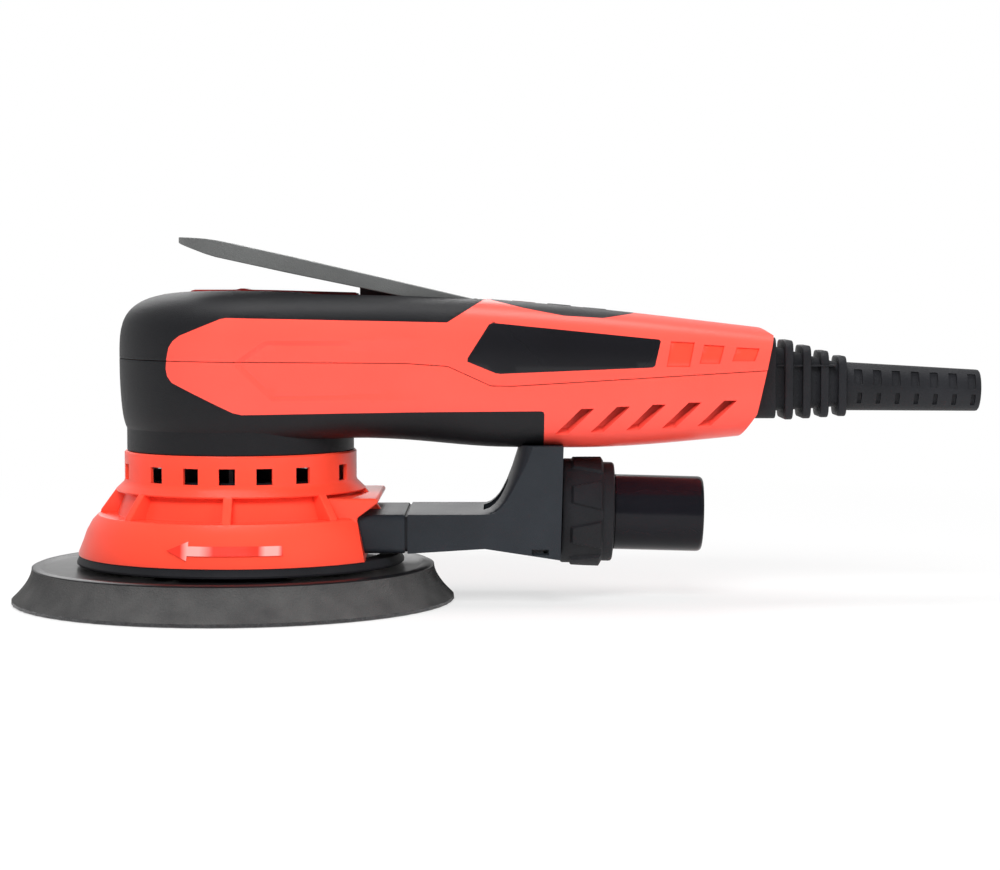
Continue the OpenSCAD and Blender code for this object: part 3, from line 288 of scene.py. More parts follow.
def paint(name, colour, roughness, spread=0.06, spread_scale=30, grain=0.0, grain_scale=900, sheen=0.0,
          specular=0.5):
    """A moulded or coated finish: slow drifts of its colour and its gloss, and a fine grain in its bump."""
    material, tree, shader, place = node_material(name)
    link = tree.links.new
    darker = [c * (1 - spread) for c in colour]
    lighter = [min(1, c * (1 + spread)) for c in colour]
    drift = add_node(tree, "TexNoise", {"Scale": spread_scale, "Detail": 4})
    tones = tone_ramp(tree, [(0.3, darker), (0.7, lighter)])
    rough = add_node(tree, "MapRange", {"To Min": max(0.04, roughness - 0.06),
                                        "To Max": min(1, roughness + 0.06)})
    link(place.outputs["Object"], drift.inputs["Vector"])
    link(drift.outputs["Fac"], tones.inputs["Fac"])
    link(tones.outputs["Color"], shader.inputs["Base Color"])
    link(drift.outputs["Fac"], rough.inputs["Value"])
    link(rough.outputs["Result"], shader.inputs["Roughness"])
    if grain:
        speck = add_node(tree, "TexNoise", {"Scale": grain_scale, "Detail": 3})
        bump = add_node(tree, "Bump", {"Strength": grain, "Distance": 0.0004})
        link(place.outputs["Object"], speck.inputs["Vector"])
        link(speck.outputs["Fac"], bump.inputs["Height"])
        link(bump.outputs["Normal"], shader.inputs["Normal"])
    shader.inputs["Specular IOR Level"].default_value = specular
    shader.inputs["Sheen Weight"].default_value = sheen
    return material


def dress(piece, material, body, slot, *nodes):
    """Paints a finished piece, lets it ride on its body and hides the nodes that it stands for."""
    piece.data.materials.clear()
    piece.data.materials.append(material)
    piece.data.polygons.foreach_set("material_index", [0] * len(piece.data.polygons))
    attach(piece, body)
    if nodes:
        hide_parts(*nodes)
    return piece


foam_bore = 15 * MM
foam_rim = foam_top + 1.7 * MM
rim_wall = 1.3 * MM
flank_steps = 12
flank_sweep = 1.7
flank = []
for i in range(flank_steps + 1):
    climb = i / flank_steps
    flare = (pad_radius - 0.2 * MM - plate_radius) * (1 - climb) ** flank_sweep
    flank.append((plate_radius + flare, hook_top + (foam_rim - hook_top) * climb))
rim = [(plate_radius - rim_wall, foam_rim), (plate_radius - rim_wall, foam_top)]
foam = turned("foam", [(foam_bore, foam_top), (foam_bore, hook_top)] + flank + rim, pad_axis)
cut_with(foam, dust_drills(0, foam_top + 5 * MM))
apply_modifier(clean_up(foam), "BEVEL", width=0.4 * MM, segments=2, angle_limit=math.radians(50))
clean_up(foam)
foam_skin, foam_tree, foam_shader, foam_place = node_material("foam_skin")
cells = add_node(foam_tree, "TexVoronoi", {"Scale": 1500})
cloud = add_node(foam_tree, "TexNoise", {"Scale": 90, "Detail": 6})
greys = tone_ramp(foam_tree, [(0.25, (0.045, 0.045, 0.046)), (0.8, (0.088, 0.087, 0.086))])
dents = add_node(foam_tree, "Bump", {"Strength": 0.5, "Distance": 0.0005})
foam_tree.links.new(foam_place.outputs["Object"], cells.inputs["Vector"])
foam_tree.links.new(foam_place.outputs["Object"], cloud.inputs["Vector"])
foam_tree.links.new(cloud.outputs["Fac"], greys.inputs["Fac"])
foam_tree.links.new(greys.outputs["Color"], foam_shader.inputs["Base Color"])
foam_tree.links.new(cells.outputs["Distance"], dents.inputs["Height"])
foam_tree.links.new(dents.outputs["Normal"], foam_shader.inputs["Normal"])
foam_shader.inputs["Roughness"].default_value = 0.92
foam_shader.inputs["Specular IOR Level"].default_value = 0.2
dress(foam, foam_skin, "pad", "foam", "foam_pad")

# The hook layer is a thin woven disc; its cut rim is a little ragged
hook_bore = 8.5 * MM
hook_section = [(hook_bore, hook_top), (hook_bore, 0), (pad_radius - 0.3 * MM, 0), (pad_radius, 0.3 * MM),
                (pad_radius - 0.1 * MM, hook_top)]
hook = turned("hook_layer", hook_section, pad_axis, steps=192)
cut_with(hook, dust_drills(-1 * MM, 3 * MM))
clean_up(hook)
rag_depth = 0.35 * MM
for vertex in hook.data.vertices:
    out = Vector((vertex.co.x - pad_axis[0], vertex.co.y))
    if out.length > pad_radius - 1 * MM:
        turn = math.atan2(out.y, out.x)
        rag = 0.5 + 0.3 * math.sin(61 * turn) + 0.2 * math.sin(97 * turn + 1)
        vertex.co.x -= out.x / out.length * rag_depth * rag
        vertex.co.y -= out.y / out.length * rag_depth * rag
hook_pile = paint("hook_pile", (0.035, 0.035, 0.037), 0.95, spread=0.4, spread_scale=700, grain=0.9,
                  grain_scale=2500, sheen=0.3)
dress(hook, hook_pile, "pad", "hook", "hook_face")

# ---------------------------------------------------------------- backing plate
# A glossy moulded disc that stiffens the foam. Its top has a bead round the rim and a low step
# inside it; its hub takes the pad screw.
deck = plate_high.z
screw_bore = 4.1 * MM
screw_seat = 7.5 * MM
hub_radius = foam_bore - 0.1 * MM
# The deck's rim from the edge inwards, in millimetres: how far in, and how far under the deck
rim_steps = [(0, 1.0), (0.3, 0.5), (1.0, 0.15), (2.2, 0.1), (3.4, 0.15), (4.2, 0.6), (5.2, 0.85)]
plate_section = [
    (screw_bore, 8 * MM), (screw_seat, 8 * MM), (screw_seat, hook_top), (hub_radius, hook_top),
    (hub_radius, foam_top), (plate_radius - rim_wall, foam_top), (plate_radius - rim_wall, foam_rim),
    (plate_radius - 0.1 * MM, foam_rim), (plate_radius, foam_rim + 0.1 * MM)]
plate_section += [(plate_radius - inset * MM, deck - depth * MM) for inset, depth in rim_steps]
plate_section += [(20 * MM, deck - 0.9 * MM), (18 * MM, deck), (screw_bore, deck)]
plate = turned("backing_plate", plate_section, pad_axis)
cut_with(plate, dust_drills(foam_top - 4 * MM, deck + 2 * MM))
clean_up(plate)
gloss_black = paint("gloss_black", (0.008, 0.008, 0.009), 0.3, spread=0.25, spread_scale=60, grain=0.05,
                    grain_scale=300, specular=0.12)
dress(plate, gloss_black, "pad", "pad_plastic", "pad_plate")

# ---------------------------------------------------------------- orbit drive and motor
# Turned steel and cast alloy inside the shroud: the pad spindle in its two bearings, the eccentric
# hub with its weight, the fan, the shaft with its magnets, and the wound stator in its can.


def machined(name, colour, roughness, brushed=0.25, stretch=(40, 40, 900), metallic=1.0):
    """Bare metal with fine turning marks and slow changes of tone."""
    material, tree, shader, place = node_material(name)
    darker = [c * 0.8 for c in colour]
    lighter = [min(1, c * 1.1) for c in colour]
    squeeze = add_node(tree, "Mapping", {"Scale": stretch})
    marks = add_node(tree, "TexNoise", {"Scale": 6, "Detail": 5})
    tones = tone_ramp(tree, [(0, darker), (1, lighter)])
    rough = add_node(tree, "MapRange", {"To Min": roughness - 0.08, "To Max": roughness + 0.1})
    bump = add_node(tree, "Bump", {"Strength": brushed, "Distance": 0.0001})
    tree.links.new(place.outputs["Object"], squeeze.inputs["Vector"])
    tree.links.new(squeeze.outputs["Vector"], marks.inputs["Vector"])
    tree.links.new(marks.outputs["Fac"], tones.inputs["Fac"])
    tree.links.new(marks.outputs["Fac"], rough.inputs["Value"])
    tree.links.new(marks.outputs["Fac"], bump.inputs["Height"])
    tree.links.new(tones.outputs["Color"], shader.inputs["Base Color"])
    tree.links.new(rough.outputs["Result"], shader.inputs["Roughness"])
    tree.links.new(bump.outputs["Normal"], shader.inputs["Normal"])
    shader.inputs["Metallic"].default_value = metallic
    return material


def wear_on(material, *nodes):
    """Gives construction pieces that are shown as they are their finish."""
    for node in nodes:
        shown = bpy.data.objects[node]
        shown.data.materials.clear()
        shown.data.materials.append(material)


steel = machined("steel", (0.52, 0.53, 0.55), 0.28)
cast_alloy = machined("cast_alloy", (0.6, 0.61, 0.62), 0.45, brushed=0.5, stretch=(60, 60, 60))
copper = machined("copper_wire", (0.72, 0.3, 0.14), 0.35, brushed=0.8, stretch=(300, 300, 40))
laminations = machined("laminations", (0.38, 0.38, 0.4), 0.5, brushed=0.9, stretch=(4, 4, 2400))
magnet = machined("magnet", (0.2, 0.2, 0.21), 0.45, brushed=0.3, stretch=(80, 80, 80), metallic=0.6)
moulded_black = paint("moulded_black", (0.0175, 0.021, 0.026), 0.5, spread=0.18, spread_scale=45, grain=0.25,
                      grain_scale=2200, specular=0.3)
wear_on(steel, "pad_screw", "pad_spindle", "retaining_ring", "spindle_bearings", "rotor_shaft",
        "lower_bearing", "upper_bearing", "bracket_screws", "housing_screws", "lever_pin", "plunger_spring",
        "clamp_screws")
wear_on(cast_alloy, "eccentric_hub", "motor_bracket", "heat_sink")
wear_on(copper, "stator_coils")
wear_on(laminations, "stator_core", "rotor_core")
wear_on(magnet, "rotor_magnets")
wear_on(moulded_black, "cooling_fan")

# ---------------------------------------------------------------- brake skirt
# A soft moulded rubber ring, pushed under the shroud's rim. Its thin lip rubs on the backing plate
# and slows the pad when the tool is lifted.
skirt_low, skirt_high = (corner.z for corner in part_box("brake_skirt"))
bell_radius = -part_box("shroud")[0].x
skirt_levels = {"top": skirt_high, "low": skirt_low}
# Steps from the bell's radius and from the ring's top or low side, in millimetres
lip_section = [(-7, 0, "top"), (-7, -1.4, "top"), (-3.2, -1.6, "top"), (-1.9, 0.5, "low"), (-1.4, 0, "low"),
               (0.1, 0, "low"), (0.5, 0.3, "low"), (0.6, 0.9, "low"), (0.1, 1.9, "low"), (-0.4, 0, "top")]
skirt = turned("brake_skirt_ring", [(bell_radius + r * MM, skirt_levels[side] + z * MM)
                                    for r, z, side in lip_section])
soft_black = paint("soft_black", (0.014, 0.0145, 0.017), 0.58, spread=0.2, spread_scale=60, grain=0.3,
                   grain_scale=1500, specular=0.25)
dress(skirt, soft_black, "housing", "soft_rubber", "brake_skirt")

# ---------------------------------------------------------------- shroud
# A red moulding that closes the fan and gathers the dust: a bell with eight ribs and shallow pockets,
# a band of square holes for the cooling air, and a visor over the dust duct.
shroud_low, shroud_high = (corner.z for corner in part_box("shroud"))
band_radius = 39.2 * MM
band_low = shroud_high - 12 * MM
lip_radius = bell_radius - 6.6 * MM
lip_high = shroud_low + 13.6 * MM
recess_radius = band_radius - 0.6 * MM
ledge_radius = band_radius + 3 * MM
shroud_wall = 2.6 * MM
vent_side = 5.3 * MM
vent_pitch = 12.1 * MM
vent_shift = 0.6 * MM
vent_low = band_low + 2.6 * MM
vents_each_way = 3
rib_count = 8


def side_slab(name, outline, half, bevel=0.0, segments=2):
    """A flat plate from an outline in the side view, as thick as twice half, with its edges rounded."""
    select_none()
    bpy.ops.mesh.primitive_circle_add(vertices=len(outline), fill_type="NGON")
    piece = new_mesh_object(name)
    for vertex, (x, z) in zip(piece.data.vertices, outline):
        vertex.co = (x, -half, z)
    bpy.ops.object.mode_set(mode="EDIT")
    bpy.ops.mesh.select_all(action="SELECT")
    bpy.ops.mesh.extrude_region_move(TRANSFORM_OT_translate={"value": (0, 2 * half, 0)})
    bpy.ops.object.mode_set(mode="OBJECT")
    clean_up(piece)
    if bevel:
        apply_modifier(piece, "BEVEL", width=bevel, segments=segments, angle_limit=math.radians(30))
        clean_up(piece)
    return piece


def block(name, low, high, bevel=0.0, segments=2):
    """A box between two corners, with its edges rounded."""
    outline = [(low[0], low[2]), (high[0], low[2]), (high[0], high[2]), (low[0], high[2])]
    piece = side_slab(name, outline, (high[1] - low[1]) / 2, bevel, segments)
    shift = (high[1] + low[1]) / 2
    for vertex in piece.data.vertices:
        vertex.co.y += shift
    return piece


def turn_about(piece, angle):
    """Turns a piece's mesh round the upright axis."""
    for vertex in piece.data.vertices:
        x, y, _ = vertex.co
        vertex.co.x = x * math.cos(angle) - y * math.sin(angle)
        vertex.co.y = x * math.sin(angle) + y * math.cos(angle)
    return piece


def joined(name, *parts):
    """Several pieces made one."""
    select_none()
    for part in parts:
        part.select_set(True)
    bpy.context.view_layer.objects.active = parts[0]
    bpy.ops.object.join()
    return new_mesh_object(name)


bell_section = [
    (bell_radius - 3.6 * MM, shroud_low), (bell_radius, shroud_low), (bell_radius, shroud_low + 0.8 * MM),
    (bell_radius - 1.6 * MM, shroud_low + 4.8 * MM), (bell_radius - 2.8 * MM, shroud_low + 8.2 * MM),
    (bell_radius - 4.7 * MM, shroud_low + 11.6 * MM), (lip_radius, lip_high),
    (recess_radius + 3.2 * MM, lip_high), (recess_radius, band_low - 1.6 * MM),
    (ledge_radius - 0.3 * MM, band_low - 1.5 * MM), (ledge_radius, band_low - 1.0 * MM),
    (band_radius + 1.2 * MM, band_low + 0.7 * MM), (band_radius + 0.3 * MM, band_low + 1.6 * MM),
    (band_radius, band_low + 2.4 * MM), (band_radius, shroud_high - 0.5 * MM),
    (band_radius - 0.5 * MM, shroud_high),
    (band_radius - 1.3 * MM, shroud_high), (band_radius - 1.3 * MM, band_low + 1 * MM),
    (band_radius - shroud_wall, band_low - 0.5 * MM),
    (recess_radius - shroud_wall + 0.4 * MM, band_low - 3 * MM),
    (recess_radius + 0.4 * MM, lip_high - 2.4 * MM),
    (lip_radius - 1.4 * MM - shroud_wall, lip_high - 2.8 * MM),
    (bell_radius - 1.6 * MM - shroud_wall, shroud_low + 4.8 * MM)]
bell = turned("shroud_bell", bell_section, steps=144)
vents = []
for i in range(-vents_each_way, vents_each_way + 1):
    lean = math.pi / 2 - math.asin((i * vent_pitch - vent_shift) / band_radius)
    for side in (-1, 1):
        vent = block("vent", (band_radius - 5 * MM, -vent_side / 2, vent_low),
                     (band_radius + 5 * MM, vent_side / 2, vent_low + vent_side))
        vents.append(turn_about(vent, side * lean))
cut_with(bell, joined("vents", *vents))
duct_half = 25 * MM
duct_low = 17.9 * MM
duct_high = duct_low + 12.9 * MM
duct_fit = 0.1 * MM


def duct_way(low):
    """The room for the duct under the visor, from a height up to the duct's top."""
    return block("duct_way", (24 * MM, -duct_half - duct_fit, low),
                 (64 * MM, duct_half + duct_fit, duct_high + duct_fit))


cut_with(bell, duct_way(shroud_low - 1 * MM))
apply_modifier(clean_up(bell), "BEVEL", width=0.35 * MM, segments=2, angle_limit=math.radians(34))
rib_side = [(recess_radius - 1 * MM, lip_high - 1 * MM), (lip_radius - 0.2 * MM, lip_high - 1 * MM),
            (lip_radius - 0.6 * MM, lip_high + 1 * MM), (ledge_radius, band_low - 1 * MM),
            (recess_radius - 1 * MM, band_low - 1 * MM)]
ribs = []
for i in range(rib_count):
    rib = side_slab("rib", rib_side, 1.5 * MM, bevel=0.4 * MM)
    ribs.append(turn_about(rib, math.radians(i * 360 / rib_count - 90)))
hood_foot = (43.7 * MM, shroud_low)
hood_throat = (40.8 * MM, shroud_low + 13.8 * MM)
visor_tip = (48 * MM, shroud_low + 19.1 * MM)
hood_side = [(30 * MM, shroud_low), hood_foot, hood_throat, visor_tip,
             (47.4 * MM, shroud_low + 20.4 * MM), (30 * MM, shroud_low + 20.4 * MM)]
# The bell is cut flat where the duct enters, and the visor juts out over it
mouth_side = [(43.7 * MM, shroud_low - 1 * MM), hood_foot, hood_throat, visor_tip,
              (70 * MM, visor_tip[1]), (70 * MM, shroud_low - 1 * MM)]
cut_with(bell, side_slab("mouth", mouth_side, 60 * MM))
clean_up(bell)
cheek_side = [(38.2 * MM, shroud_low), hood_foot, hood_throat, (38.2 * MM, hood_throat[1])]
cheeks = side_slab("cheeks", cheek_side, 45 * MM)
bell_core = [(0.001 * MM, shroud_low)] + [(r - 0.05 * MM, z) for r, z in bell_section[1:8]]
cut_with(cheeks, turned("bell_core", bell_core + [(0.001 * MM, lip_high)]), "INTERSECT")
cut_with(cheeks, duct_way(shroud_low - 1 * MM))
hood = side_slab("hood", hood_side, duct_half + 3 * MM, bevel=0.7 * MM, segments=3)
throat_radius = recess_radius + 1.2 * MM
throat = turned("throat", [(0.001 * MM, shroud_low - 2 * MM), (throat_radius, shroud_low - 2 * MM),
                           (throat_radius, shroud_high), (0.001 * MM, shroud_high)])
cut_with(hood, throat)
cut_with(hood, duct_way(duct_low - duct_fit))
clean_up(hood)
web_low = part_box("cooling_fan")[0].z - 3.2 * MM
web_high = web_low + 1.8 * MM
web_bore = 15 * MM
web_radius = recess_radius - shroud_wall + 1 * MM
web = turned("web", [(web_bore, web_low), (web_radius, web_low), (web_radius, web_high),
                     (web_bore, web_high)])

# The arrow that shows which way the pad turns stands proud of the bell's front
arrow_high = shroud_low + 5.6 * MM
arrow_ends = (-19.8, 19.2)
arrow_depth = 0.6 * MM
arrow_outline = [(arrow_ends[0], 0), (-12.4, 3), (-12.4, 1.5), (arrow_ends[1], 1.5), (arrow_ends[1], -1.5),
                 (-12.4, -1.5), (-12.4, -3)]


def bell_reach(height):
    """The bell's outer radius at a height, read from its own section."""
    for (r0, z0), (r1, z1) in zip(bell_section[2:6], bell_section[3:7]):
        if z0 <= height <= z1:
            return r0 + (r1 - r0) * (height - z0) / (z1 - z0)
    return bell_radius


arrow = side_slab("turn_arrow", [(x * MM, arrow_high + z * MM) for x, z in arrow_outline], arrow_depth)
make_active(arrow)
bpy.ops.object.mode_set(mode="EDIT")
# Cut into narrow strips and at the bends of the bell, so that it can be laid round it
for cut in range(-19, 20):
    bpy.ops.mesh.select_all(action="SELECT")
    bpy.ops.mesh.bisect(plane_co=(cut * MM, 0, 0), plane_no=(1, 0, 0), threshold=0.00001)
for height in [arrow_high + cut * MM for cut in (-2.2, -1.5, 0, 1.5, 2.2)] + [shroud_low + 4.8 * MM]:
    bpy.ops.mesh.select_all(action="SELECT")
    bpy.ops.mesh.bisect(plane_co=(0, 0, height), plane_no=(0, 0, 1), threshold=0.00001)
bpy.ops.object.mode_set(mode="OBJECT")
for vertex in arrow.data.vertices:
    lean = vertex.co.x / bell_radius
    reach = bell_reach(vertex.co.z) + (arrow_depth if vertex.co.y < 0 else -arrow_depth)
    vertex.co.x = reach * math.sin(lean)
    vertex.co.y = -reach * math.cos(lean)
apply_modifier(clean_up(arrow), "BEVEL", width=0.2 * MM, segments=2, angle_limit=math.radians(50))
clean_up(arrow)
shroud = joined("shroud_moulding", bell, cheeks, hood, web, *ribs)
clean_up(shroud, smooth_angle=28)
shroud_red = paint("shroud_red", (0.93, 0.07, 0.036), 0.34, spread=0.05, spread_scale=25, grain=0.1,
                   grain_scale=1800, specular=0.3)
dress(shroud, shroud_red, "housing", "red_plastic", "shroud")

# The arrow's face is glossy, and a painted highlight makes it pale pink towards its two ends, where its
# raised face catches the light
arrow_red = paint("arrow_red", (0.8, 0.035, 0.02), 0.2, spread=0.05, spread_scale=25, grain=0.05)
arrow_tree = arrow_red.node_tree
arrow_shader = arrow_tree.nodes["Principled BSDF"]
arrow_place = add_node(arrow_tree, "SeparateXYZ")
# No painted highlight in the middle of the arrow, and the strength of the painted highlight near its ends
bare = (0, 0, 0)
painted_glare = (0.45, 0.45, 0.45)
glare_spread = tone_ramp(arrow_tree, [(0.14, bare), (0.2, painted_glare), (0.3, painted_glare), (0.42, bare),
                                (0.78, bare), (0.84, painted_glare), (0.94, painted_glare), (0.98, bare)])
along = add_node(arrow_tree, "MapRange", {"From Min": arrow_ends[0] * MM, "From Max": arrow_ends[1] * MM})
# The pale pink of the painted highlight, mixed into the arrow's red
blend = add_node(arrow_tree, "Mix", {"B": (1.0, 0.72, 0.68, 1)}, data_type="RGBA")
plain_red = arrow_shader.inputs["Base Color"].links[0].from_socket
arrow_tree.links.new(arrow_tree.nodes["Texture Coordinate"].outputs["Object"], arrow_place.inputs["Vector"])
arrow_tree.links.new(arrow_place.outputs["X"], along.inputs["Value"])
arrow_tree.links.new(along.outputs["Result"], glare_spread.inputs["Fac"])
arrow_tree.links.new(plain_red, blend.inputs["A"])
arrow_tree.links.new(glare_spread.outputs["Color"], blend.inputs["Factor"])
arrow_tree.links.new(blend.outputs["Result"], arrow_shader.inputs["Base Color"])
dress(arrow, arrow_red, "housing", "red_plastic")
red_plastic = paint("red_plastic", (0.95, 0.088, 0.062), 0.36, spread=0.05, spread_scale=25, grain=0.12,
                    grain_scale=1800, specular=0.3)

# ---------------------------------------------------------------- housing form
# The housing is a round head that runs out into the handle. Both halves, their soft grips and the
# plates are laid out on this one form, so they meet flush: its sections are squared ovals.
head_radius = -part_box("upper_grip")[0].x
neck_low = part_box("lower_grip")[0].z
head_low = neck_low + 8 * MM
roof = head_low + 45.7 * MM
body_length = 178.6 * MM
tail_end = 190 * MM
grip_thick = 1.5 * MM
wall_thick = 2.6 * MM
roof_power = 3.8


def eased(table):
    """A smooth curve through (x, value) points that stays between them and starts level."""
    spots = [x * MM for x, _ in table]
    values = [value for _, value in table]
    rises = [(values[i + 1] - values[i]) / (spots[i + 1] - spots[i]) for i in range(len(table) - 1)]
    slopes = [0.0]
    for before, after in zip(rises, rises[1:]):
        slopes.append(2 * before * after / (before + after) if before * after > 0 else 0.0)
    slopes.append(rises[-1])

    def value_at(x):
        x = min(max(x, spots[0]), spots[-1])
        i = next(k for k in range(len(rises)) if x <= spots[k + 1])
        span = spots[i + 1] - spots[i]
        t = (x - spots[i]) / span
        return (values[i] * (1 + 2 * t) * (1 - t) ** 2 + slopes[i] * span * t * (1 - t) ** 2
                + values[i + 1] * t * t * (3 - 2 * t) - slopes[i + 1] * span * t * t * (1 - t))
    return value_at


top_line = eased([(0, roof), (27, roof - 0.6 * MM), (76, roof - 2.3 * MM), (110, roof - 5 * MM),
                  (190, roof - 14 * MM)])
floor_line = eased([(0, head_low - 6 * MM), (40, head_low - 3.4 * MM), (90, head_low - 6.8 * MM),
                    (112, head_low - 7 * MM), (190, head_low - 1.2 * MM)])
half_width = eased([(0, head_radius), (16, head_radius - 2.2 * MM), (40, head_radius - 7 * MM),
                    (68, 29.6 * MM), (104, 28.4 * MM), (190, 23.4 * MM)])
waist_line = eased([(0, 81 * MM), (60, 80 * MM), (90, 76 * MM), (190, 76 * MM)])
floor_power = eased([(0, 8), (40, 5), (70, 3.6), (190, 3.4)])
belly_tuck = eased([(0, 0.055), (60, 0.02), (190, 0)])


def form_spot(x, turn, climb):
    """A point of the form, from its place along the handle, its turn round the head and its climb."""
    power = roof_power if climb >= 0 else floor_power(x)
    across = abs(math.cos(climb))
    up = abs(math.sin(climb))
    size = (across ** power + up ** power) ** (1 / power)
    across /= size
    up /= size
    side = half_width(x) * across
    if climb < 0:
        side *= 1 - belly_tuck(x) * up * up
        height = waist_line(x) - (waist_line(x) - floor_line(x)) * up
    else:
        height = waist_line(x) + (top_line(x) - waist_line(x)) * up
    return Vector((x + side * math.cos(turn), side * math.sin(turn), height))


# A grid is bent to the form: each column a station of the handle or the nose, each row a climb from the
# waist in degrees, closest together where the section turns
climbs = [*range(-90, -60, 5), *range(-60, -30, 2), *range(-30, 30, 5), *range(30, 60, 2), *range(60, 91, 5)]
side_steps = 86
nose_steps = 60
stations = [(tail_end * (1 - i / side_steps), 270) for i in range(side_steps)]
stations += [(0, 270 - 180 * i / nose_steps) for i in range(nose_steps + 1)]
stations += [(tail_end * (i + 1) / side_steps, 90) for i in range(side_steps)]
select_none()
bpy.ops.mesh.primitive_grid_add(x_subdivisions=len(stations) - 1, y_subdivisions=len(climbs) - 1, size=2)
form = new_mesh_object("housing_form")
for vertex in form.data.vertices:
    station_x, station_turn = stations[round((vertex.co.x + 1) / 2 * (len(stations) - 1))]
    climb = climbs[round((vertex.co.y + 1) / 2 * (len(climbs) - 1))]
    vertex.co = form_spot(station_x, math.radians(station_turn), math.radians(climb))
clean_up(form, merge=0.00002)

# The rear end leans back, with a bevel under it and another at its top
rear_lean = 12.4
rear_mark = Vector((body_length, 0, roof - 15 * MM))
lean_up = Vector((math.sin(math.radians(rear_lean)), 0, math.cos(math.radians(rear_lean))))
lean_out = Vector((math.cos(math.radians(rear_lean)), 0, -math.sin(math.radians(rear_lean))))
rear_cuts = [(rear_mark, rear_lean), (rear_mark - lean_up * 26.5 * MM, rear_lean + 20),
             (rear_mark - lean_out * 1.5 * MM + lean_up * 0.85 * MM, rear_lean - 67)]
make_active(form)
bpy.ops.object.mode_set(mode="EDIT")
for spot, lean in rear_cuts:
    bpy.ops.mesh.select_all(action="SELECT")
    out = (math.cos(math.radians(lean)), 0, -math.sin(math.radians(lean)))
    bpy.ops.mesh.bisect(plane_co=spot, plane_no=out, use_fill=True, clear_outer=True, threshold=0.00001)
bpy.ops.object.mode_set(mode="OBJECT")
clean_up(form)

# Lines of the side view, in millimetres: where the halves part, where each finish begins, and the
# outlines of the windows, the cooling slots and the hollow of the flank
parting_line = [(-60, 82.4), (57, 81), (71, 80), (85, 73.6), (92.5, 73.5), (210, 80.4)]
parting_gap = 0.12
parting_edges = [[(x, z + side * parting_gap) for x, z in parting_line] for side in (-1, 1)]
low_mm = head_low / MM
roof_mm = roof / MM
red_line = [(-15.9, 90.2), (-18.3, 88.4), (-19.7, 86.3), (-20.4, 82.8), (-20.7, 79.3), (-20.2, 77),
            (-18.7, 74.9), (1.4, low_mm + 6.2), (4.4, low_mm + 5.5), (101.6, low_mm + 6.2),
            (102.3, low_mm + 5.9), (102.6, low_mm + 5.2), (102, 0), (210, 0), (210, roof_mm + 20),
            (119, roof_mm + 20), (70.6, roof_mm - 10.4), (-0.6, roof_mm - 8.8), (-2.6, roof_mm - 9.2)]
panel_line = [(85, roof_mm + 9), (85, roof_mm - 3), (96, roof_mm - 5.7), (109, roof_mm - 8.2),
              (122, roof_mm - 9), (133, roof_mm - 7.4), (133, roof_mm + 9)]
label_line = [(77.3, roof_mm - 23.2), (77.4, roof_mm - 22), (84.4, roof_mm - 11), (85.6, roof_mm - 10.5),
              (140.4, roof_mm - 16), (140.9, roof_mm - 16.6), (139, roof_mm - 24.6), (138.2, roof_mm - 25.2),
              (88.2, roof_mm - 27.2), (86.6, roof_mm - 27)]
window_lines = []
for x, wide, drop, tall in [(142.7, 7.8, 25, 8.4), (153.6, 6.8, 24, 6.3), (164.4, 7.6, 23.2, 4.6)]:
    z = roof_mm - drop
    window_lines.append([(x, z), (x + wide, z), (x + wide + 1.6, z + tall - 0.4), (x + 1.6, z + tall)])
slot_lines = []
for x in (106, 117.8, 129.6, 141.4, 153.2):
    z = low_mm - 1.6 + 0.055 * (x - 106)
    slot_lines.append([(x, z), (x + 4.3, z), (x + 13, z + 8.6), (x + 8.7, z + 8.6)])
hollow_line = [(2.5, 82), (12, 88.6), (66, 88.2), (66, 69.4), (14, 68.9), (2.5, 80)]
hollow_floor = [(4.4, 81.4), (12.7, 87), (64.4, 86.6), (64.4, 71), (14.7, 70.5), (4.4, 80.6)]


def score(piece, line, closed=True):
    """Cuts the mesh along a line of the side view, after drawing nearby corners onto it."""
    mesh = bmesh.new()
    mesh.from_mesh(piece.data)
    fixed = mesh.verts.layers.int.get("fixed") or mesh.verts.layers.int.new("fixed")
    ends = list(zip(line, line[1:] + line[:1] if closed else line[1:]))
    for start, end in ends:
        start = Vector((start[0], 0, start[1])) * MM
        along = Vector((end[0], 0, end[1])) * MM - start
        length = along.length
        along.normalize()
        across = Vector((-along.z, 0, along.x))
        mesh.normal_update()
        for vert in mesh.verts:
            off = (vert.co - start).dot(across)
            way = (vert.co - start).dot(along)
            if abs(off) < 0.4 * MM and -0.5 * MM < way < length + 0.5 * MM and not vert[fixed]:
                slide = across - vert.normal * across.dot(vert.normal)
                if slide.length_squared > 0.3:
                    vert.co += slide * (-off / slide.length_squared)
        near = []
        for face in mesh.faces:
            offs = [(vert.co - start).dot(across) for vert in face.verts]
            ways = [(vert.co - start).dot(along) for vert in face.verts]
            if min(offs) < 0.01 * MM and max(offs) > -0.01 * MM and min(ways) < length and max(ways) > 0:
                near.append(face)
        edges = {edge for face in near for edge in face.edges}
        verts = {vert for face in near for vert in face.verts}
        bmesh.ops.bisect_plane(mesh, geom=near + list(edges) + list(verts), dist=0.01 * MM,
                               plane_co=start, plane_no=across)
        for vert in mesh.verts:
            way = (vert.co - start).dot(along)
            if abs((vert.co - start).dot(across)) < 0.02 * MM and -2 * MM < way < length + 2 * MM:
                vert[fixed] = 1
    mesh.to_mesh(piece.data)
    mesh.free()


def inside(x, z, line):
    """Whether a point of the side view lies within a closed line."""
    within = False
    for (x0, z0), (x1, z1) in zip(line, line[1:] + line[:1]):
        if (z0 > z) != (z1 > z) and x < x0 + (x1 - x0) * (z - z0) / (z1 - z0):
            within = not within
    return within


def over_parting(x, z):
    """The height of a point of the side view over the parting line."""
    for (x0, z0), (x1, z1) in zip(parting_line, parting_line[1:]):
        if x0 <= x <= x1:
            return z - z0 - (z1 - z0) * (x - x0) / (x1 - x0)
    return z - parting_line[-1][1]


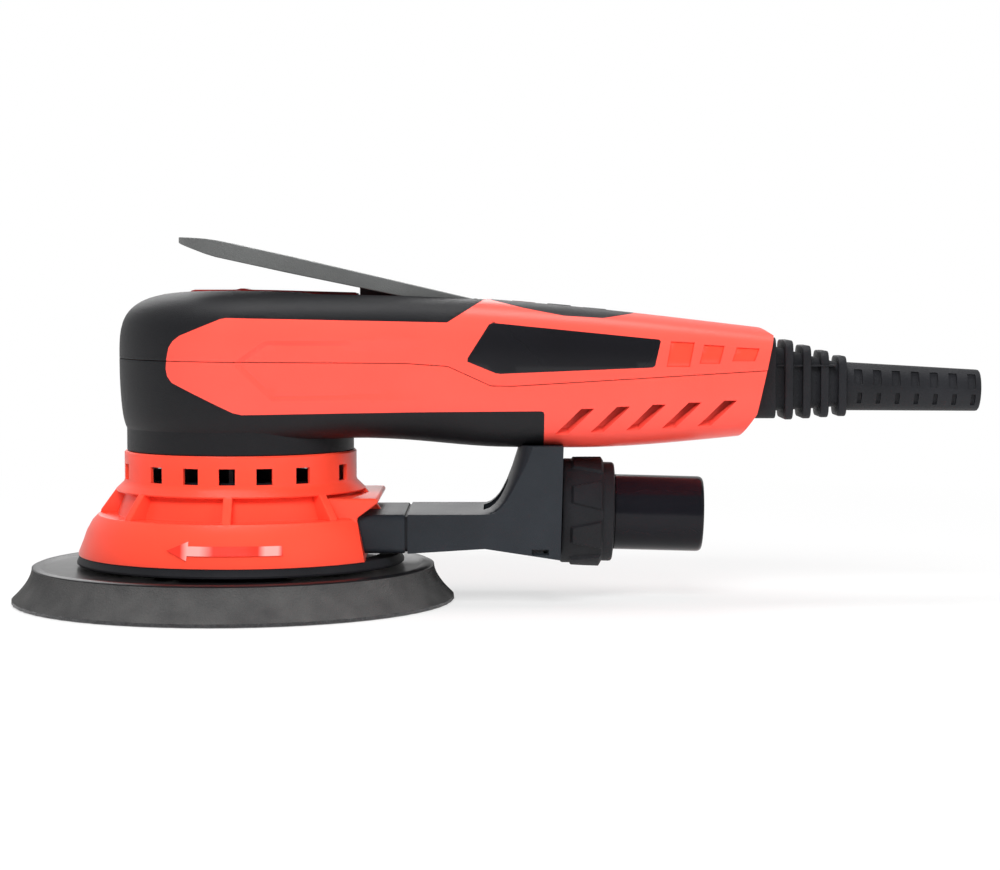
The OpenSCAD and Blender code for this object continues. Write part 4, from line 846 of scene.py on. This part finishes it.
for line in parting_edges:
    score(form, line, closed=False)
for line in [red_line, panel_line, label_line, hollow_line, hollow_floor] + window_lines + slot_lines:
    score(form, line)

# Every face is told which finish it belongs to
RED, GRIP, PANEL, LABEL, WINDOW, SLOT = range(6)
zones = form.data.attributes.new("zone", "INT", "FACE")
for face in form.data.polygons:
    x, z = face.center.x / MM, face.center.z / MM
    if any(inside(x, z, line) for line in slot_lines):
        zone = SLOT
    elif any(inside(x, z, line) for line in window_lines):
        zone = WINDOW
    elif inside(x, z, label_line):
        zone = LABEL
    elif inside(x, z, panel_line):
        zone = PANEL
    else:
        zone = RED if inside(x, z, red_line) else GRIP
    zones.data[face.index].value = zone


def away_from(x, z, line):
    """The distance of a point of the side view from a closed line."""
    spot = Vector((x, z))
    reaches = []
    for start, end in zip(line, line[1:] + line[:1]):
        start, side = Vector(start), Vector(end) - Vector(start)
        share = min(1, max(0, (spot - start).dot(side) / side.length_squared))
        reaches.append((spot - start - side * share).length)
    return min(reaches)


# A long hexagon is sunk in each red flank, with soft shoulders, and dies away towards the handle
hollow_depth = 1.1
hollow_shoulder = 1.5
hollow_end = 66
hollow_fade = 40
for vertex in form.data.vertices:
    x, z = vertex.co.x / MM, vertex.co.z / MM
    if abs(vertex.co.y) > 20 * MM and inside(x, z, hollow_line):
        shoulder = min(1, away_from(x, z, hollow_line) / hollow_shoulder)
        depth = hollow_depth * shoulder * min(1, max(0, (hollow_end - x) / hollow_fade)) ** 0.6
        vertex.co.y -= math.copysign(depth * MM, vertex.co.y)


def skinned(name, rings):
    """A closed skin drawn over rings of equal length, in their order."""
    mesh = bmesh.new()
    rows = [[mesh.verts.new(spot) for spot in ring] for ring in rings]
    count = len(rings[0])
    for row, following in zip(rows, rows[1:]):
        for i in range(count):
            mesh.faces.new((row[i], row[(i + 1) % count], following[(i + 1) % count], following[i]))
    mesh.faces.new(rows[0][::-1])
    mesh.faces.new(rows[-1])
    data = bpy.data.meshes.new(name)
    mesh.to_mesh(data)
    mesh.free()
    piece = bpy.data.objects.new(name, data)
    bpy.context.scene.collection.objects.link(piece)
    return clean_up(piece)


def part_of_form(name, upper, kinds, source=form):
    """A copy of the form with only its faces of these kinds: upper is True or False for a half, or None."""
    piece = source.copy()
    piece.data = source.data.copy()
    bpy.context.scene.collection.objects.link(piece)
    piece.name = piece.data.name = name
    mesh = bmesh.new()
    mesh.from_mesh(piece.data)
    kind = mesh.faces.layers.int["zone"]
    doomed = []
    for face in mesh.faces:
        centre = face.calc_center_median() / MM
        height = over_parting(centre.x, centre.z)
        if upper is not None and (height if upper else -height) < parting_gap * 0.9:
            doomed.append(face)
        elif face[kind] not in kinds:
            doomed.append(face)
    bmesh.ops.delete(mesh, geom=doomed, context="FACES")
    mesh.to_mesh(piece.data)
    mesh.free()
    return piece


def give_wall(piece, thickness, bevel=0.25 * MM, merge=fine_merge):
    """Gives an open skin its wall, inwards, and rounds its edges where a bevel is given."""
    apply_modifier(piece, "SOLIDIFY", thickness=thickness, offset=-1, use_rim=True)
    if bevel:
        apply_modifier(piece, "BEVEL", width=bevel, segments=2, angle_limit=math.radians(32),
                       use_clamp_overlap=True)
    for layer in ("zone", "fixed"):
        if layer in piece.data.attributes:
            piece.data.attributes.remove(piece.data.attributes[layer])
    return clean_up(piece, smooth_angle=28, merge=merge)


# The hard mouldings lie one grip's thickness lower wherever a grip, a panel or a plate covers them
inner_form = form.copy()
inner_form.data = form.data.copy()
bpy.context.scene.collection.objects.link(inner_form)
inner_form.name = "stepped_form"
window_depth = 0.9 * MM
for kinds, depth in [((GRIP, PANEL, LABEL), grip_thick), ((WINDOW,), window_depth)]:
    make_active(inner_form)
    bpy.ops.object.mode_set(mode="EDIT")
    bpy.ops.mesh.select_mode(type="FACE")
    bpy.ops.mesh.select_all(action="DESELECT")
    bpy.ops.object.mode_set(mode="OBJECT")
    for face in inner_form.data.polygons:
        face.select = inner_form.data.attributes["zone"].data[face.index].value in kinds
    bpy.ops.object.mode_set(mode="EDIT")
    bpy.ops.mesh.extrude_region_shrink_fatten(TRANSFORM_OT_shrink_fatten={"value": -depth})
    bpy.ops.object.mode_set(mode="OBJECT")
hard_kinds = (RED, GRIP, PANEL, LABEL, WINDOW)

# ---------------------------------------------------------------- lower housing half
# The red lower half of the housing, glass-filled nylon: it carries the motor can, the boards and the
# dust duct, and five slots on each side let the cooling air in at the tail.
lower_skin = part_of_form("lower_housing", False, hard_kinds, inner_form)
lower_shell = give_wall(lower_skin, wall_thick, bevel=0, merge=0)


def flank_at(x, z):
    """How far the form's side stands from the middle, at a point of the side view under the waist."""
    x, z = x * MM, z * MM
    up = min(1, (waist_line(x) - z) / (waist_line(x) - floor_line(x)))
    across = (1 - up ** floor_power(x)) ** (1 / floor_power(x))
    return half_width(x) * across * (1 - belly_tuck(x) * up * up)


# Behind each slot a vane leads inwards and up, so nothing falls straight in
vane_thick = 1.1
vanes = []
for line in slot_lines:
    (x0, z0), (x1, z1), (x2, z2), (x3, z3) = line
    # Each corner's place in the side view, and how deep it lies under the flank
    vane_corners = [(x0 - 1, z0 - 1, 2.0), (x1 + 1.5, z1 - 1, 2.0),
                    (x2 + 1.5, z2 + 0.5, 6.5), (x3 - 1, z3 + 0.5, 6.5)]
    for side in (-1, 1):
        rings = []
        for thick in (0, vane_thick):
            rings.append([Vector((x, side * (flank_at(x, max(z, z0)) / MM - depth - thick), z)) * MM
                          for x, z, depth in vane_corners])
        vanes.append(skinned("vane", rings))
lower_shell = joined("lower_housing", lower_shell, *vanes)
dress(lower_shell, red_plastic, "housing", "red_plastic", "lower_shell")

# ---------------------------------------------------------------- lower grip
# Soft black rubber, moulded over the lower half in the same tool: a skin round the neck and the lower
# head that runs on under the handle's belly.
neck_radius = 38.3 * MM
belly = give_wall(part_of_form("belly_grip", False, (GRIP,)), grip_thick - 0.05 * MM)
neck = turned("neck", [(neck_radius - grip_thick, neck_low), (neck_radius - 0.3 * MM, neck_low),
                       (neck_radius, neck_low + 0.3 * MM), (neck_radius, head_low + 1 * MM),
                       (neck_radius - grip_thick, head_low + 1 * MM)])
lower_grip = joined("lower_soft_grip", belly, neck)
soft_grip = paint("soft_grip", (0.009, 0.0092, 0.0107), 0.5, spread=0.15, spread_scale=20, grain=0.35,
                  grain_scale=2600, specular=0.25)
dress(lower_grip, soft_grip, "housing", "soft_grip", "lower_grip")

# ---------------------------------------------------------------- upper housing half
# The red upper half, of the same glass-filled nylon, screwed down from below. It carries the lever's
# hinge and the keys, and its openings are cut once the lever is there.
upper_skin = part_of_form("upper_housing", True, hard_kinds, inner_form)
upper_shell = give_wall(upper_skin, wall_thick, bevel=0, merge=0)
dress(upper_shell, red_plastic, "housing", "red_plastic", "upper_shell")

# ---------------------------------------------------------------- upper grip
# Soft black rubber, moulded over the upper half: a skin over the head and the front of the handle,
# where the palm rests.
upper_grip = give_wall(part_of_form("upper_soft_grip", True, (GRIP,)), grip_thick - 0.05 * MM, merge=0)
dress(upper_grip, soft_grip, "housing", "soft_grip", "upper_grip")

# ---------------------------------------------------------------- side plates
# A bare gloss-black plate on each side of the handle, a thin moulding that lies flush in a seat of
# its own shape across both halves.
plates = give_wall(part_of_form("side_plates", None, (LABEL,)), grip_thick - 0.1 * MM, bevel=0.15 * MM)
gloss_plate = paint("gloss_plate", (0.006, 0.006, 0.008), 0.28, spread=0.3, spread_scale=12, grain=0.03,
                    grain_scale=400, specular=0.3)
dress(plates, gloss_plate, "housing", "gloss_label", "side_labels")

# ---------------------------------------------------------------- control panel
# The black panel in the roof of the handle that holds the three keys, moulded of the grips' soft
# rubber and let into a seat in the upper half.
panel = give_wall(part_of_form("key_panel", None, (PANEL,)), grip_thick - 0.05 * MM, merge=0)
dress(panel, soft_grip, "housing", "panel", "control_panel")

# The three blank windows in each flank are lined with a clearer red
window_skin = part_of_form("flank_windows", None, (WINDOW,), inner_form)
lining_thick = 0.2 * MM
lining_lift = 0.25 * MM
for vertex in window_skin.data.vertices:
    vertex.co.y += math.copysign(lining_lift, vertex.co.y)
give_wall(window_skin, lining_thick, bevel=0.02 * MM)
window_red = paint("window_red", (0.95, 0.062, 0.032), 0.25, spread=0.05, spread_scale=40, grain=0.05)
dress(window_skin, window_red, "housing", "red_plastic")
bpy.data.objects.remove(inner_form)

# A red strip runs over the top of the head, with a small bump for the palm to find
strip_ends = (-16, 40)
strip_steps = 40
strip_high = 0.4
strip_ramp = 1.2
bump_high = 0.45
bump_x = 1.5
bump_half = 2.2
strip_length = strip_ends[1] - strip_ends[0]
strip_marks = [strip_ends[0] + strip_length * i / strip_steps for i in range(strip_steps + 1)]
strip_over = []
for x in strip_marks:
    bump = bump_high * max(0, 1 - ((x - bump_x) / bump_half) ** 2)
    rise = strip_high * min(1, (x - strip_ends[0]) / strip_ramp, (strip_ends[1] - x) / strip_ramp) + bump
    strip_over.append((x * MM, top_line(x * MM) + rise * MM))
strip_under = [(x * MM, top_line(x * MM) - 0.6 * MM) for x in reversed(strip_marks)]
strip = side_slab("crown_strip", strip_over + strip_under, 6 * MM)
apply_modifier(strip, "BEVEL", width=0.2 * MM, segments=2, angle_limit=math.radians(60))
clean_up(strip)
crown_red = paint("crown_red", (0.3, 0.012, 0.01), 0.35, spread=0.1, spread_scale=60, grain=0.1,
                  grain_scale=1500)
dress(strip, crown_red, "housing", "red_plastic")

# ---------------------------------------------------------------- lever
# A pressed paddle, powder-coated dark grey, with its sides folded down. Its barrel turns on a steel
# pin, and its underside pushes the plunger of the switch.
hinge_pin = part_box("lever_pin")
hinge_x = (hinge_pin[0].x + hinge_pin[1].x) / 2
hinge_z = (hinge_pin[0].z + hinge_pin[1].z) / 2
lever_reach = 100 * MM
lever_half_width = 21 * MM
hinge_half = 12 * MM
lever_depth = 5.6 * MM
lever_sheet = 1.8 * MM


def lever_rise(d):
    """How far the middle of the folded side lies above the pin, at a distance from it."""
    return 0.4 * MM + 0.22 * d


def lever_half_depth(d):
    """Half the folded side's depth at a distance from the pin: it narrows to the nose and to the hinge."""
    return lever_depth / 2 * min(0.35 + (lever_reach - d) / MM * 0.05, 0.72 + d / MM / 220, 1)


def lever_outline(near, far, up, down):
    """The side view between two distances from the pin, moved in from the top and the bottom edge."""
    steps = 28
    reaches = [near + (far - near) * i / steps for i in range(steps + 1)]
    above = [(hinge_x - d, hinge_z + lever_rise(d) + lever_half_depth(d) - up) for d in reaches]
    below = [(hinge_x - d, hinge_z + lever_rise(d) - lever_half_depth(d) - down) for d in reversed(reaches)]
    return above + below


def lever_plan(grow):
    """The paddle from above: a round nose that narrows to the hinge."""
    tip = hinge_x - lever_reach
    nose_length = 16 * MM
    side = [(tip + nose_length - (nose_length + grow) * math.cos(math.radians(a)),
             (lever_half_width + grow) * math.sin(math.radians(a))) for a in range(6, 91, 6)]
    side += [(hinge_x - 46 * MM, lever_half_width - 4.5 * MM + grow), (hinge_x - 22 * MM, hinge_half + grow),
             (hinge_x + 2.6 * MM + grow, hinge_half + grow)]
    nose = [(tip - grow, 0)]
    return nose + side + [(x, -y) for x, y in reversed(side)]


def plan_slab(name, outline, low, high):
    """A flat plate from an outline seen from above."""
    piece = side_slab(name, outline, (high - low) / 2)
    for vertex in piece.data.vertices:
        vertex.co = (vertex.co.x, vertex.co.z, vertex.co.y + (high + low) / 2)
    return clean_up(piece)


lever = side_slab("lever_paddle", lever_outline(-2.4 * MM, lever_reach, 0, 0), 60 * MM)
cut_with(lever, plan_slab("paddle_plan", lever_plan(0), 0, 300 * MM), "INTERSECT")
apply_modifier(clean_up(lever), "BEVEL", width=0.7 * MM, segments=3, angle_limit=math.radians(40))
hollow = side_slab("hollow", lever_outline(7 * MM, lever_reach - 1 * MM, lever_sheet, 10 * MM), 60 * MM)
cut_with(hollow, plan_slab("hollow_plan", lever_plan(-lever_sheet), 0, 300 * MM), "INTERSECT")
cut_with(lever, hollow)


def rod(name, radius, start, end, vertices=32):
    """A round bar between two points."""
    select_none()
    bpy.ops.mesh.primitive_cylinder_add(vertices=vertices, radius=radius, depth=(end - start).length)
    piece = new_mesh_object(name)
    turn = (end - start).to_track_quat("Z", "Y").to_matrix()
    for vertex in piece.data.vertices:
        vertex.co = turn @ vertex.co + (start + end) / 2
    return piece


hinge_spot = Vector((hinge_x, 0, hinge_z))
barrel_end = Vector((0, hinge_half, 0))
pin_end = Vector((0, 0.03, 0))
cut_with(lever, rod("barrel", 2.7 * MM, hinge_spot - barrel_end, hinge_spot + barrel_end), "UNION")
cut_with(lever, rod("pin_hole", 1.54 * MM, hinge_spot - pin_end, hinge_spot + pin_end))
clean_up(lever)
lever_coat = paint("lever_coat", (0.101, 0.104, 0.103), 0.42, spread=0.14, spread_scale=40, grain=0.45,
                   grain_scale=3000, specular=0.45)
dress(lever, lever_coat, "lever", "lever_coat", "lever")

# The roof has a well for the pressed lever, a shaft for the plunger and round holes for the keys
press = math.radians(5)
well_fit = 0.35 * MM
well_outline = []
for x, z in lever_outline(-4 * MM, 60 * MM, -30 * MM, 0.5 * MM):
    dx, dz = x - hinge_x, z - hinge_z
    well_outline.append((hinge_x + dx * math.cos(press) - dz * math.sin(press),
                         hinge_z + dx * math.sin(press) + dz * math.cos(press)))
plunger_low, plunger_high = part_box("switch_plunger")
for target in (upper_shell, upper_grip):
    well = side_slab("well", well_outline, 60 * MM)
    cut_with(well, plan_slab("well_plan", lever_plan(2 * well_fit), hinge_z - 8 * MM, hinge_z + 32 * MM),
             "INTERSECT")
    cut_with(target, well)
    cut_with(target, block("hinge_room", (hinge_x - 6 * MM, -hinge_half - well_fit, hinge_z - 3.2 * MM),
                           (hinge_x + 4 * MM, hinge_half + well_fit, hinge_z + 17 * MM)))
    cut_with(target, block("plunger_way", (plunger_low.x - well_fit, plunger_low.y - well_fit, plunger_low.z),
                           (plunger_high.x + well_fit, plunger_high.y + well_fit, plunger_high.z + 10 * MM)))
key_places = (96 * MM, 108 * MM, 120 * MM)
key_slope = math.atan2(top_line(key_places[0]) - top_line(key_places[-1]), key_places[-1] - key_places[0])
key_up = Vector((math.sin(key_slope), 0, math.cos(key_slope)))
key_head = 4.35 * MM
key_stem = 2.05 * MM
key_cuts = [(upper_shell, key_stem, 20 * MM), (upper_shell, key_head, 1.65 * MM), (panel, key_head, 6 * MM)]
for key_x in key_places:
    key_spot = Vector((key_x, 0, top_line(key_x)))
    for target, radius, depth in key_cuts:
        cut_with(target, rod("key_hole", radius, key_spot - key_up * depth, key_spot + key_up * 10 * MM, 48))
for target in (upper_shell, upper_grip, panel):
    clean_up(target, smooth_angle=28, merge=fine_merge)

# ---------------------------------------------------------------- plunger and keys
# Small mouldings whose edges were rounded in the tool: the switch's plunger, a red power key with a
# dished face, and two grey speed keys.


def refined(name, node, width):
    """A copy of a construction piece with its doubles merged, its flats made whole and its edges rounded."""
    source = bpy.data.objects[node]
    piece = source.copy()
    piece.data = source.data.copy()
    for note in list(piece.keys()):
        del piece[note]
    bpy.context.scene.collection.objects.link(piece)
    piece.name = piece.data.name = name
    make_active(piece)
    bpy.ops.object.mode_set(mode="EDIT")
    bpy.ops.mesh.select_all(action="SELECT")
    bpy.ops.mesh.remove_doubles(threshold=fine_merge)
    bpy.ops.mesh.dissolve_limited(angle_limit=math.radians(0.6))
    bpy.ops.object.mode_set(mode="OBJECT")
    apply_modifier(piece, "BEVEL", width=width, segments=2, angle_limit=math.radians(30))
    return clean_up(piece, merge=fine_merge)


red_gloss = paint("red_gloss", (0.1, 0.008, 0.008), 0.3, spread=0.1, spread_scale=80, grain=0.05)
grey_key = paint("grey_key", (0.13, 0.135, 0.14), 0.4, spread=0.1, spread_scale=80, grain=0.15,
                 grain_scale=2500)
plunger = refined("plunger", "switch_plunger", 0.35 * MM)
dress(plunger, moulded_black, "plunger", "black_plastic", "switch_plunger")
for button, key, material, slot in (("power_button", "power_key", red_gloss, "red_key"),
                                    ("slower_button", "slower_key", grey_key, "grey_key"),
                                    ("faster_button", "faster_key", grey_key, "grey_key")):
    dress(refined(button, key, 0.15 * MM), material, key, slot, key)

# ---------------------------------------------------------------- switch and electronics
# Inside the handle: the trigger switch, the two glass-fibre boards, the capacitors in their printed
# film, the heat sink, the terminal block and the clamp that holds the cord.
board_green = paint("board_green", (0.012, 0.08, 0.035), 0.35, spread=0.5, spread_scale=500, grain=0.1)
film_blue = paint("film_blue", (0.02, 0.04, 0.1), 0.25, spread=0.15, spread_scale=50, grain=0.02)
terminal_white = paint("terminal_white", (0.62, 0.62, 0.58), 0.5, spread=0.05, spread_scale=60, grain=0.1)
wear_on(board_green, "key_board", "controller_board")
wear_on(film_blue, "capacitors")
wear_on(terminal_white, "terminal_block")
wear_on(moulded_black, "trigger_switch", "cable_clamp")
wear_on(soft_black, "duct_seal", "collar_seal")

# ---------------------------------------------------------------- dust duct
# Two black mouldings: a flat stub under the shroud's visor, and the duct that runs back from it and
# turns up into a strut under the handle, where it also holds the hose port.
duct_stub = refined("duct_stub_moulding", "duct_stub", 0.5 * MM)
dress(duct_stub, moulded_black, "housing", "black_plastic", "duct_stub")
duct_wall = 2.2 * MM
strut_top = (head_low / MM) - 5.6
port_spot = Vector((108.4 * MM, 0, 30.2 * MM))
port_turn = Matrix.Rotation(math.radians(91.5), 3, "Y")
# The side view of the flat cheeks, and of the round front between them, point for point: back along
# the floor, up the rear of the strut, down its front, and forward along the duct's top
cheek_line = [(57.4, 17.9), (83, 19.5), (112.4, 15), (112.4, strut_top),
              (98.9, strut_top), (98.6, 52.4), (97.7, 49.8), (96.5, 47), (95.4, 44.8), (94.1, 42.4),
              (92.7, 39.7), (91.2, 37), (89.8, 34.8), (88.2, 32.9), (86.6, 31.7), (84.8, 31), (82.5, 30.8),
              (57.4, 30.8)]
front_line = [(57.4, 17.9), (83, 19.5), (112.4, 15), (112.4, strut_top),
              (94.9, strut_top), (94.6, 52.4), (93.9, 49.8), (93, 47), (92.3, 44.8), (91.4, 42.4),
              (90.3, 39.7), (89, 37), (87.8, 35), (86.3, 33.3), (84.6, 32), (82.4, 31.2), (79.6, 30.8),
              (57.4, 30.8)]
strut_front = range(4, 16)
duct_top = range(13, 18)
# From the cheek inwards: how far across, how much of the round front, and how deep a thin groove is sunk
duct_levels = [(25, 0, 0), (24.7, 0, 0), (24.68, 0, 0.35), (24.3, 0, 0.35), (24.1, 0.04, 0), (23.5, 0.3, 0),
               (22.4, 0.52, 0), (20.4, 0.74, 0), (17.6, 0.9, 0), (14, 1, 0)]


def duct_ring(across, share, groove):
    """One closed outline of the duct at a distance from its middle; a groove sinks its front and its top."""
    ring = []
    for i, ((x0, z0), (x1, z1)) in enumerate(zip(cheek_line, front_line)):
        inwards = 0.7 * groove if i in strut_front else 0
        down = groove if i in duct_top else 0.5 * groove if i in strut_front else 0
        ring.append(Vector((x0 + (x1 - x0) * share + inwards, across, z0 + (z1 - z0) * share - down)) * MM)
    return ring


def laid(piece, spot, turn):
    """Moves a piece's mesh from its own frame into the tool's."""
    for vertex in piece.data.vertices:
        vertex.co = spot + turn @ vertex.co
    return piece


duct_rings = [duct_ring(-across, share, groove) for across, share, groove in duct_levels]
duct_rings += [duct_ring(across, share, groove) for across, share, groove in reversed(duct_levels)]
duct = skinned("duct_strut", duct_rings)
cut_with(duct, laid(block("beyond_port", (-0.06, -0.06, 0), (0.06, 0.06, 0.04)), port_spot, port_turn))
cut_with(duct, block("duct_hollow", (50 * MM, -duct_half + duct_wall, duct_low + duct_wall),
                     (88 * MM, duct_half - duct_wall, duct_high - duct_wall)))
for side in (-1, 1):
    cut_with(duct, block("latch_slot", (98.5 * MM, side * 24.2 * MM - 1 * MM, 17.4 * MM),
                         (104.2 * MM, side * 24.2 * MM + 1 * MM, 19.3 * MM)))
    cut_with(duct, block("latch_hole", (102.4 * MM, side * 22.8 * MM - 2.6 * MM, 17.8 * MM),
                         (103.8 * MM, side * 22.8 * MM + 2.6 * MM, 18.9 * MM)))
port_way = port_turn @ Vector((0, 0, 1))
port_seat = 14.65 * MM
port_bore = 10.5 * MM
nozzle = rod("nozzle", port_seat, port_spot - port_way * 2 * MM, port_spot + port_way * 8 * MM, 96)
cut_with(duct, nozzle, "UNION")
bore_low = port_spot - port_way * 26 * MM
bore_high = port_spot + port_way * 34 * MM
cut_with(duct, rod("port_bore", port_bore, bore_low, bore_high, 96))
clean_up(duct, smooth_angle=34)
dress(duct, moulded_black, "housing", "black_plastic", "dust_duct")

# ---------------------------------------------------------------- hose port
# The ring that traps the spigot turns to let it go, and eight raised pads round it give a grip. The
# spigot is a glossy tube with a rounded lip that swivels in it.
pad_start = 3.4
pad_stop = 13.8
pad_high = 0.9
pad_edge = 0.5
# Half the angle that a pad takes, in degrees, at its start and at its stop
pad_half_start = 9.9
pad_half_stop = 17.2
ring_outer = 17.7


def pad_rise(turn, reach):
    """How high a grip pad stands at an angle round the ring and a distance along it, in millimetres."""
    off = abs(turn % 45 - 22.5)
    half = pad_half_start + (pad_half_stop - pad_half_start) * (reach - pad_start) / (pad_stop - pad_start)
    edge = min((half - off) * ring_outer * math.pi / 180, reach - pad_start, (pad_stop - reach) * 2)
    return pad_high * min(1, max(0, edge / pad_edge))


outer_run = [(16.9, 0.35), (17.5, 0.6), (ring_outer, 1.1)]
outer_run += [(ring_outer, 1.4 + 0.3 * i) for i in range(42)]
outer_run += [(17.5, 14.05), (16.95, 14.2), (16.8, 14.4), (16.8, 16.9), (16.6, 17.5), (16.1, 17.85),
              (15.4, 17.95)]
ring_section = [(13.1, 17.95), (13.1, 14.95), (15, 14.95), (15, 0.35)] + outer_run
ring = turned("locking_ring", [(r * MM, z * MM) for r, z in ring_section], steps=360)
for vertex in ring.data.vertices:
    reach = vertex.co.z / MM
    radius = math.hypot(vertex.co.x, vertex.co.y) / MM
    if radius > ring_outer - 0.05 and pad_start < reach < pad_stop:
        lift = 1 + pad_rise(math.degrees(math.atan2(vertex.co.y, vertex.co.x)) % 360, reach) / radius
        vertex.co.x *= lift
        vertex.co.y *= lift
laid(ring, port_spot, port_turn)
clean_up(ring, smooth_angle=30)
dress(ring, soft_black, "collar", "black_plastic", "locking_collar")

seal_top = 9.9
spigot_section = [(10.5, seal_top), (14.65, seal_top), (14.65, 14.6), (12.45, 14.6), (12.45, 18.3),
                  (12.6, 18.3), (12.75, 18.5), (12.75, 46.2), (12.7, 46.9), (12.5, 47.5), (12.15, 47.95),
                  (11.7, 48.18), (11.2, 48.1), (10.75, 47.7), (10.5, 47.1)]
gloss_moulding = paint("gloss_moulding", (0.006, 0.006, 0.009), 0.2, spread=0.2, spread_scale=30, grain=0.04,
                       grain_scale=500, specular=0.22)
tube = turned("hose_tube", [(r * MM, z * MM) for r, z in spigot_section], steps=144)
clean_up(laid(tube, port_spot, port_turn), smooth_angle=50)
dress(tube, gloss_moulding, "spigot", "black_plastic", "hose_spigot")

# ---------------------------------------------------------------- cord entry
# A square-ribbed rubber bush held in the rear wall, and the sleeve that saves the cord from sharp
# bends: it tapers, and two rows of pockets on each side let it flex.
gland_stand = 1.7
gland_level = 16.3
gland_spot = Vector((body_length + gland_stand * MM, 0, head_low + gland_level * MM))
rib_pitch = 6.1
cord_hole = 3.8


def square_ring(x, half, low, high, corner=4.0):
    """A square outline with round corners, across the handle at a station; all in millimetres."""
    steps = 6
    ring = []
    for k, (side, level) in enumerate(((1, high), (-1, high), (-1, low), (1, low))):
        lift = 1 if level == high else -1
        for i in range(steps + 1):
            turn = math.radians(90 * (k + i / steps))
            ring.append(gland_spot + Vector((x, side * (half - corner) + corner * math.cos(turn),
                                             level - lift * corner + corner * math.sin(turn))) * MM)
    return ring


def square_plate(name, x0, x1, half, low, high, edge=0.5):
    """A square plate with round corners and soft edges, between two stations."""
    rings = []
    for x, sink in ((x0, edge), (x0 + 0.3 * edge, 0.3 * edge), (x0 + edge, 0), (x1 - edge, 0),
                    (x1 - 0.3 * edge, 0.3 * edge), (x1, edge)):
        rings.append(square_ring(x, half - sink, low + sink, high - sink, 4 - sink))
    return skinned(name, rings)


gland = skinned("ribbed_gland", [square_ring(0.2, 10.8, -10.9, 10.7), square_ring(12, 9, -10.3, 7.6),
                                 square_ring(23.6, 7.4, -9.4, 4.8, 3.5)])
lean_block = laid(block("wall_room", (-0.06, -0.06, -0.06), (0, 0.06, 0.06)), rear_mark,
                  Matrix.Rotation(math.radians(rear_lean), 3, "Y"))
flange = square_plate("flange", -12, 0, 13, -13.4, 13.8, edge=0.35)
cut_with(flange, lean_block)
cut_with(gland, flange, "UNION")
for i in range(4):
    rib_at = 3 + rib_pitch * i
    rib = square_plate("rib", rib_at, rib_at + 2.8, 13 - 1.05 * i, -13.8 + 0.32 * i, 12.8 - 1.78 * i)
    cut_with(gland, rib, "UNION")
seam_low = gland_spot + Vector((0.2, -11.6, 4.1)) * MM
mould_seam = block("mould_seam", seam_low, seam_low + Vector((20, 23.2, 0.5)) * MM, bevel=0.12 * MM)
cut_with(gland, mould_seam, "UNION")
gland_way = Matrix.Rotation(math.radians(96), 3, "Y") @ Vector((0, 0, 1))
gland_axis = gland_spot - Vector((0, 0, 0.7 * MM))
gland_root = gland_axis - gland_way * 20 * MM
cut_with(gland, rod("gland_neck", 8.2 * MM, gland_root, gland_axis + gland_way * MM, 64), "UNION")
cut_with(gland, rod("gland_stop", 10.7 * MM, gland_root, gland_axis - gland_way * 8.5 * MM, 64), "UNION")
cord_reach = gland_way * 60 * MM
cut_with(gland, rod("cord_way", cord_hole * MM, gland_axis - cord_reach, gland_axis + cord_reach, 48))
clean_up(gland, smooth_angle=32)
dress(gland, soft_black, "housing", "soft_rubber", "cord_gland")
sleeve_spot = Vector((body_length + (gland_stand + 4 * rib_pitch - 0.3) * MM, 0,
                      head_low + (gland_level - 2.9) * MM))
sleeve_turn = Matrix.Rotation(math.radians(91.8), 3, "Y")
sleeve_length = 45.8
pocket_depth = 1.2
pocket_pitch = 6.4


def sleeve_radius(z):
    """The sleeve's outer radius at a distance from the gland, in millimetres."""
    return 8.2 - 1.2 * z / sleeve_length


sleeve_section = [(cord_hole, 0), (8.1, 0), (8.2, 0.3)]
sleeve_section += [(sleeve_radius(z), z) for z in (12, 24, 36, 45)]
sleeve_section += [(6.9, 45.5), (6.5, sleeve_length), (cord_hole, sleeve_length)]
sleeve = turned("bend_sleeve", [(r * MM, z * MM) for r, z in sleeve_section], steps=96)
# Two rows of pockets on each side: their turn from the top in degrees, their length and their width
pocket_rows = [(62.5, 2.8, 5.6), (117.5, 1.5, 4.2)]
pockets = []
for i in range(7):
    for lean, length, width in pocket_rows:
        for side in (-1, 1):
            end = 2.7 + pocket_pitch * i + 2.8
            reach = sleeve_radius(end) - pocket_depth
            pocket = block("pocket", (reach * MM, -width / 2 * MM, (end - length) * MM),
                           (10 * MM, width / 2 * MM, end * MM), bevel=0.25 * MM)
            pockets.append(turn_about(pocket, math.radians(180 + side * lean)))
cut_with(sleeve, joined("pockets", *pockets))
clean_up(laid(sleeve, sleeve_spot, sleeve_turn), smooth_angle=30)
dress(sleeve, soft_black, "housing", "soft_rubber", "cord_sleeve")

# The form was only a guide for the mouldings, so it goes
bpy.data.objects.remove(form)
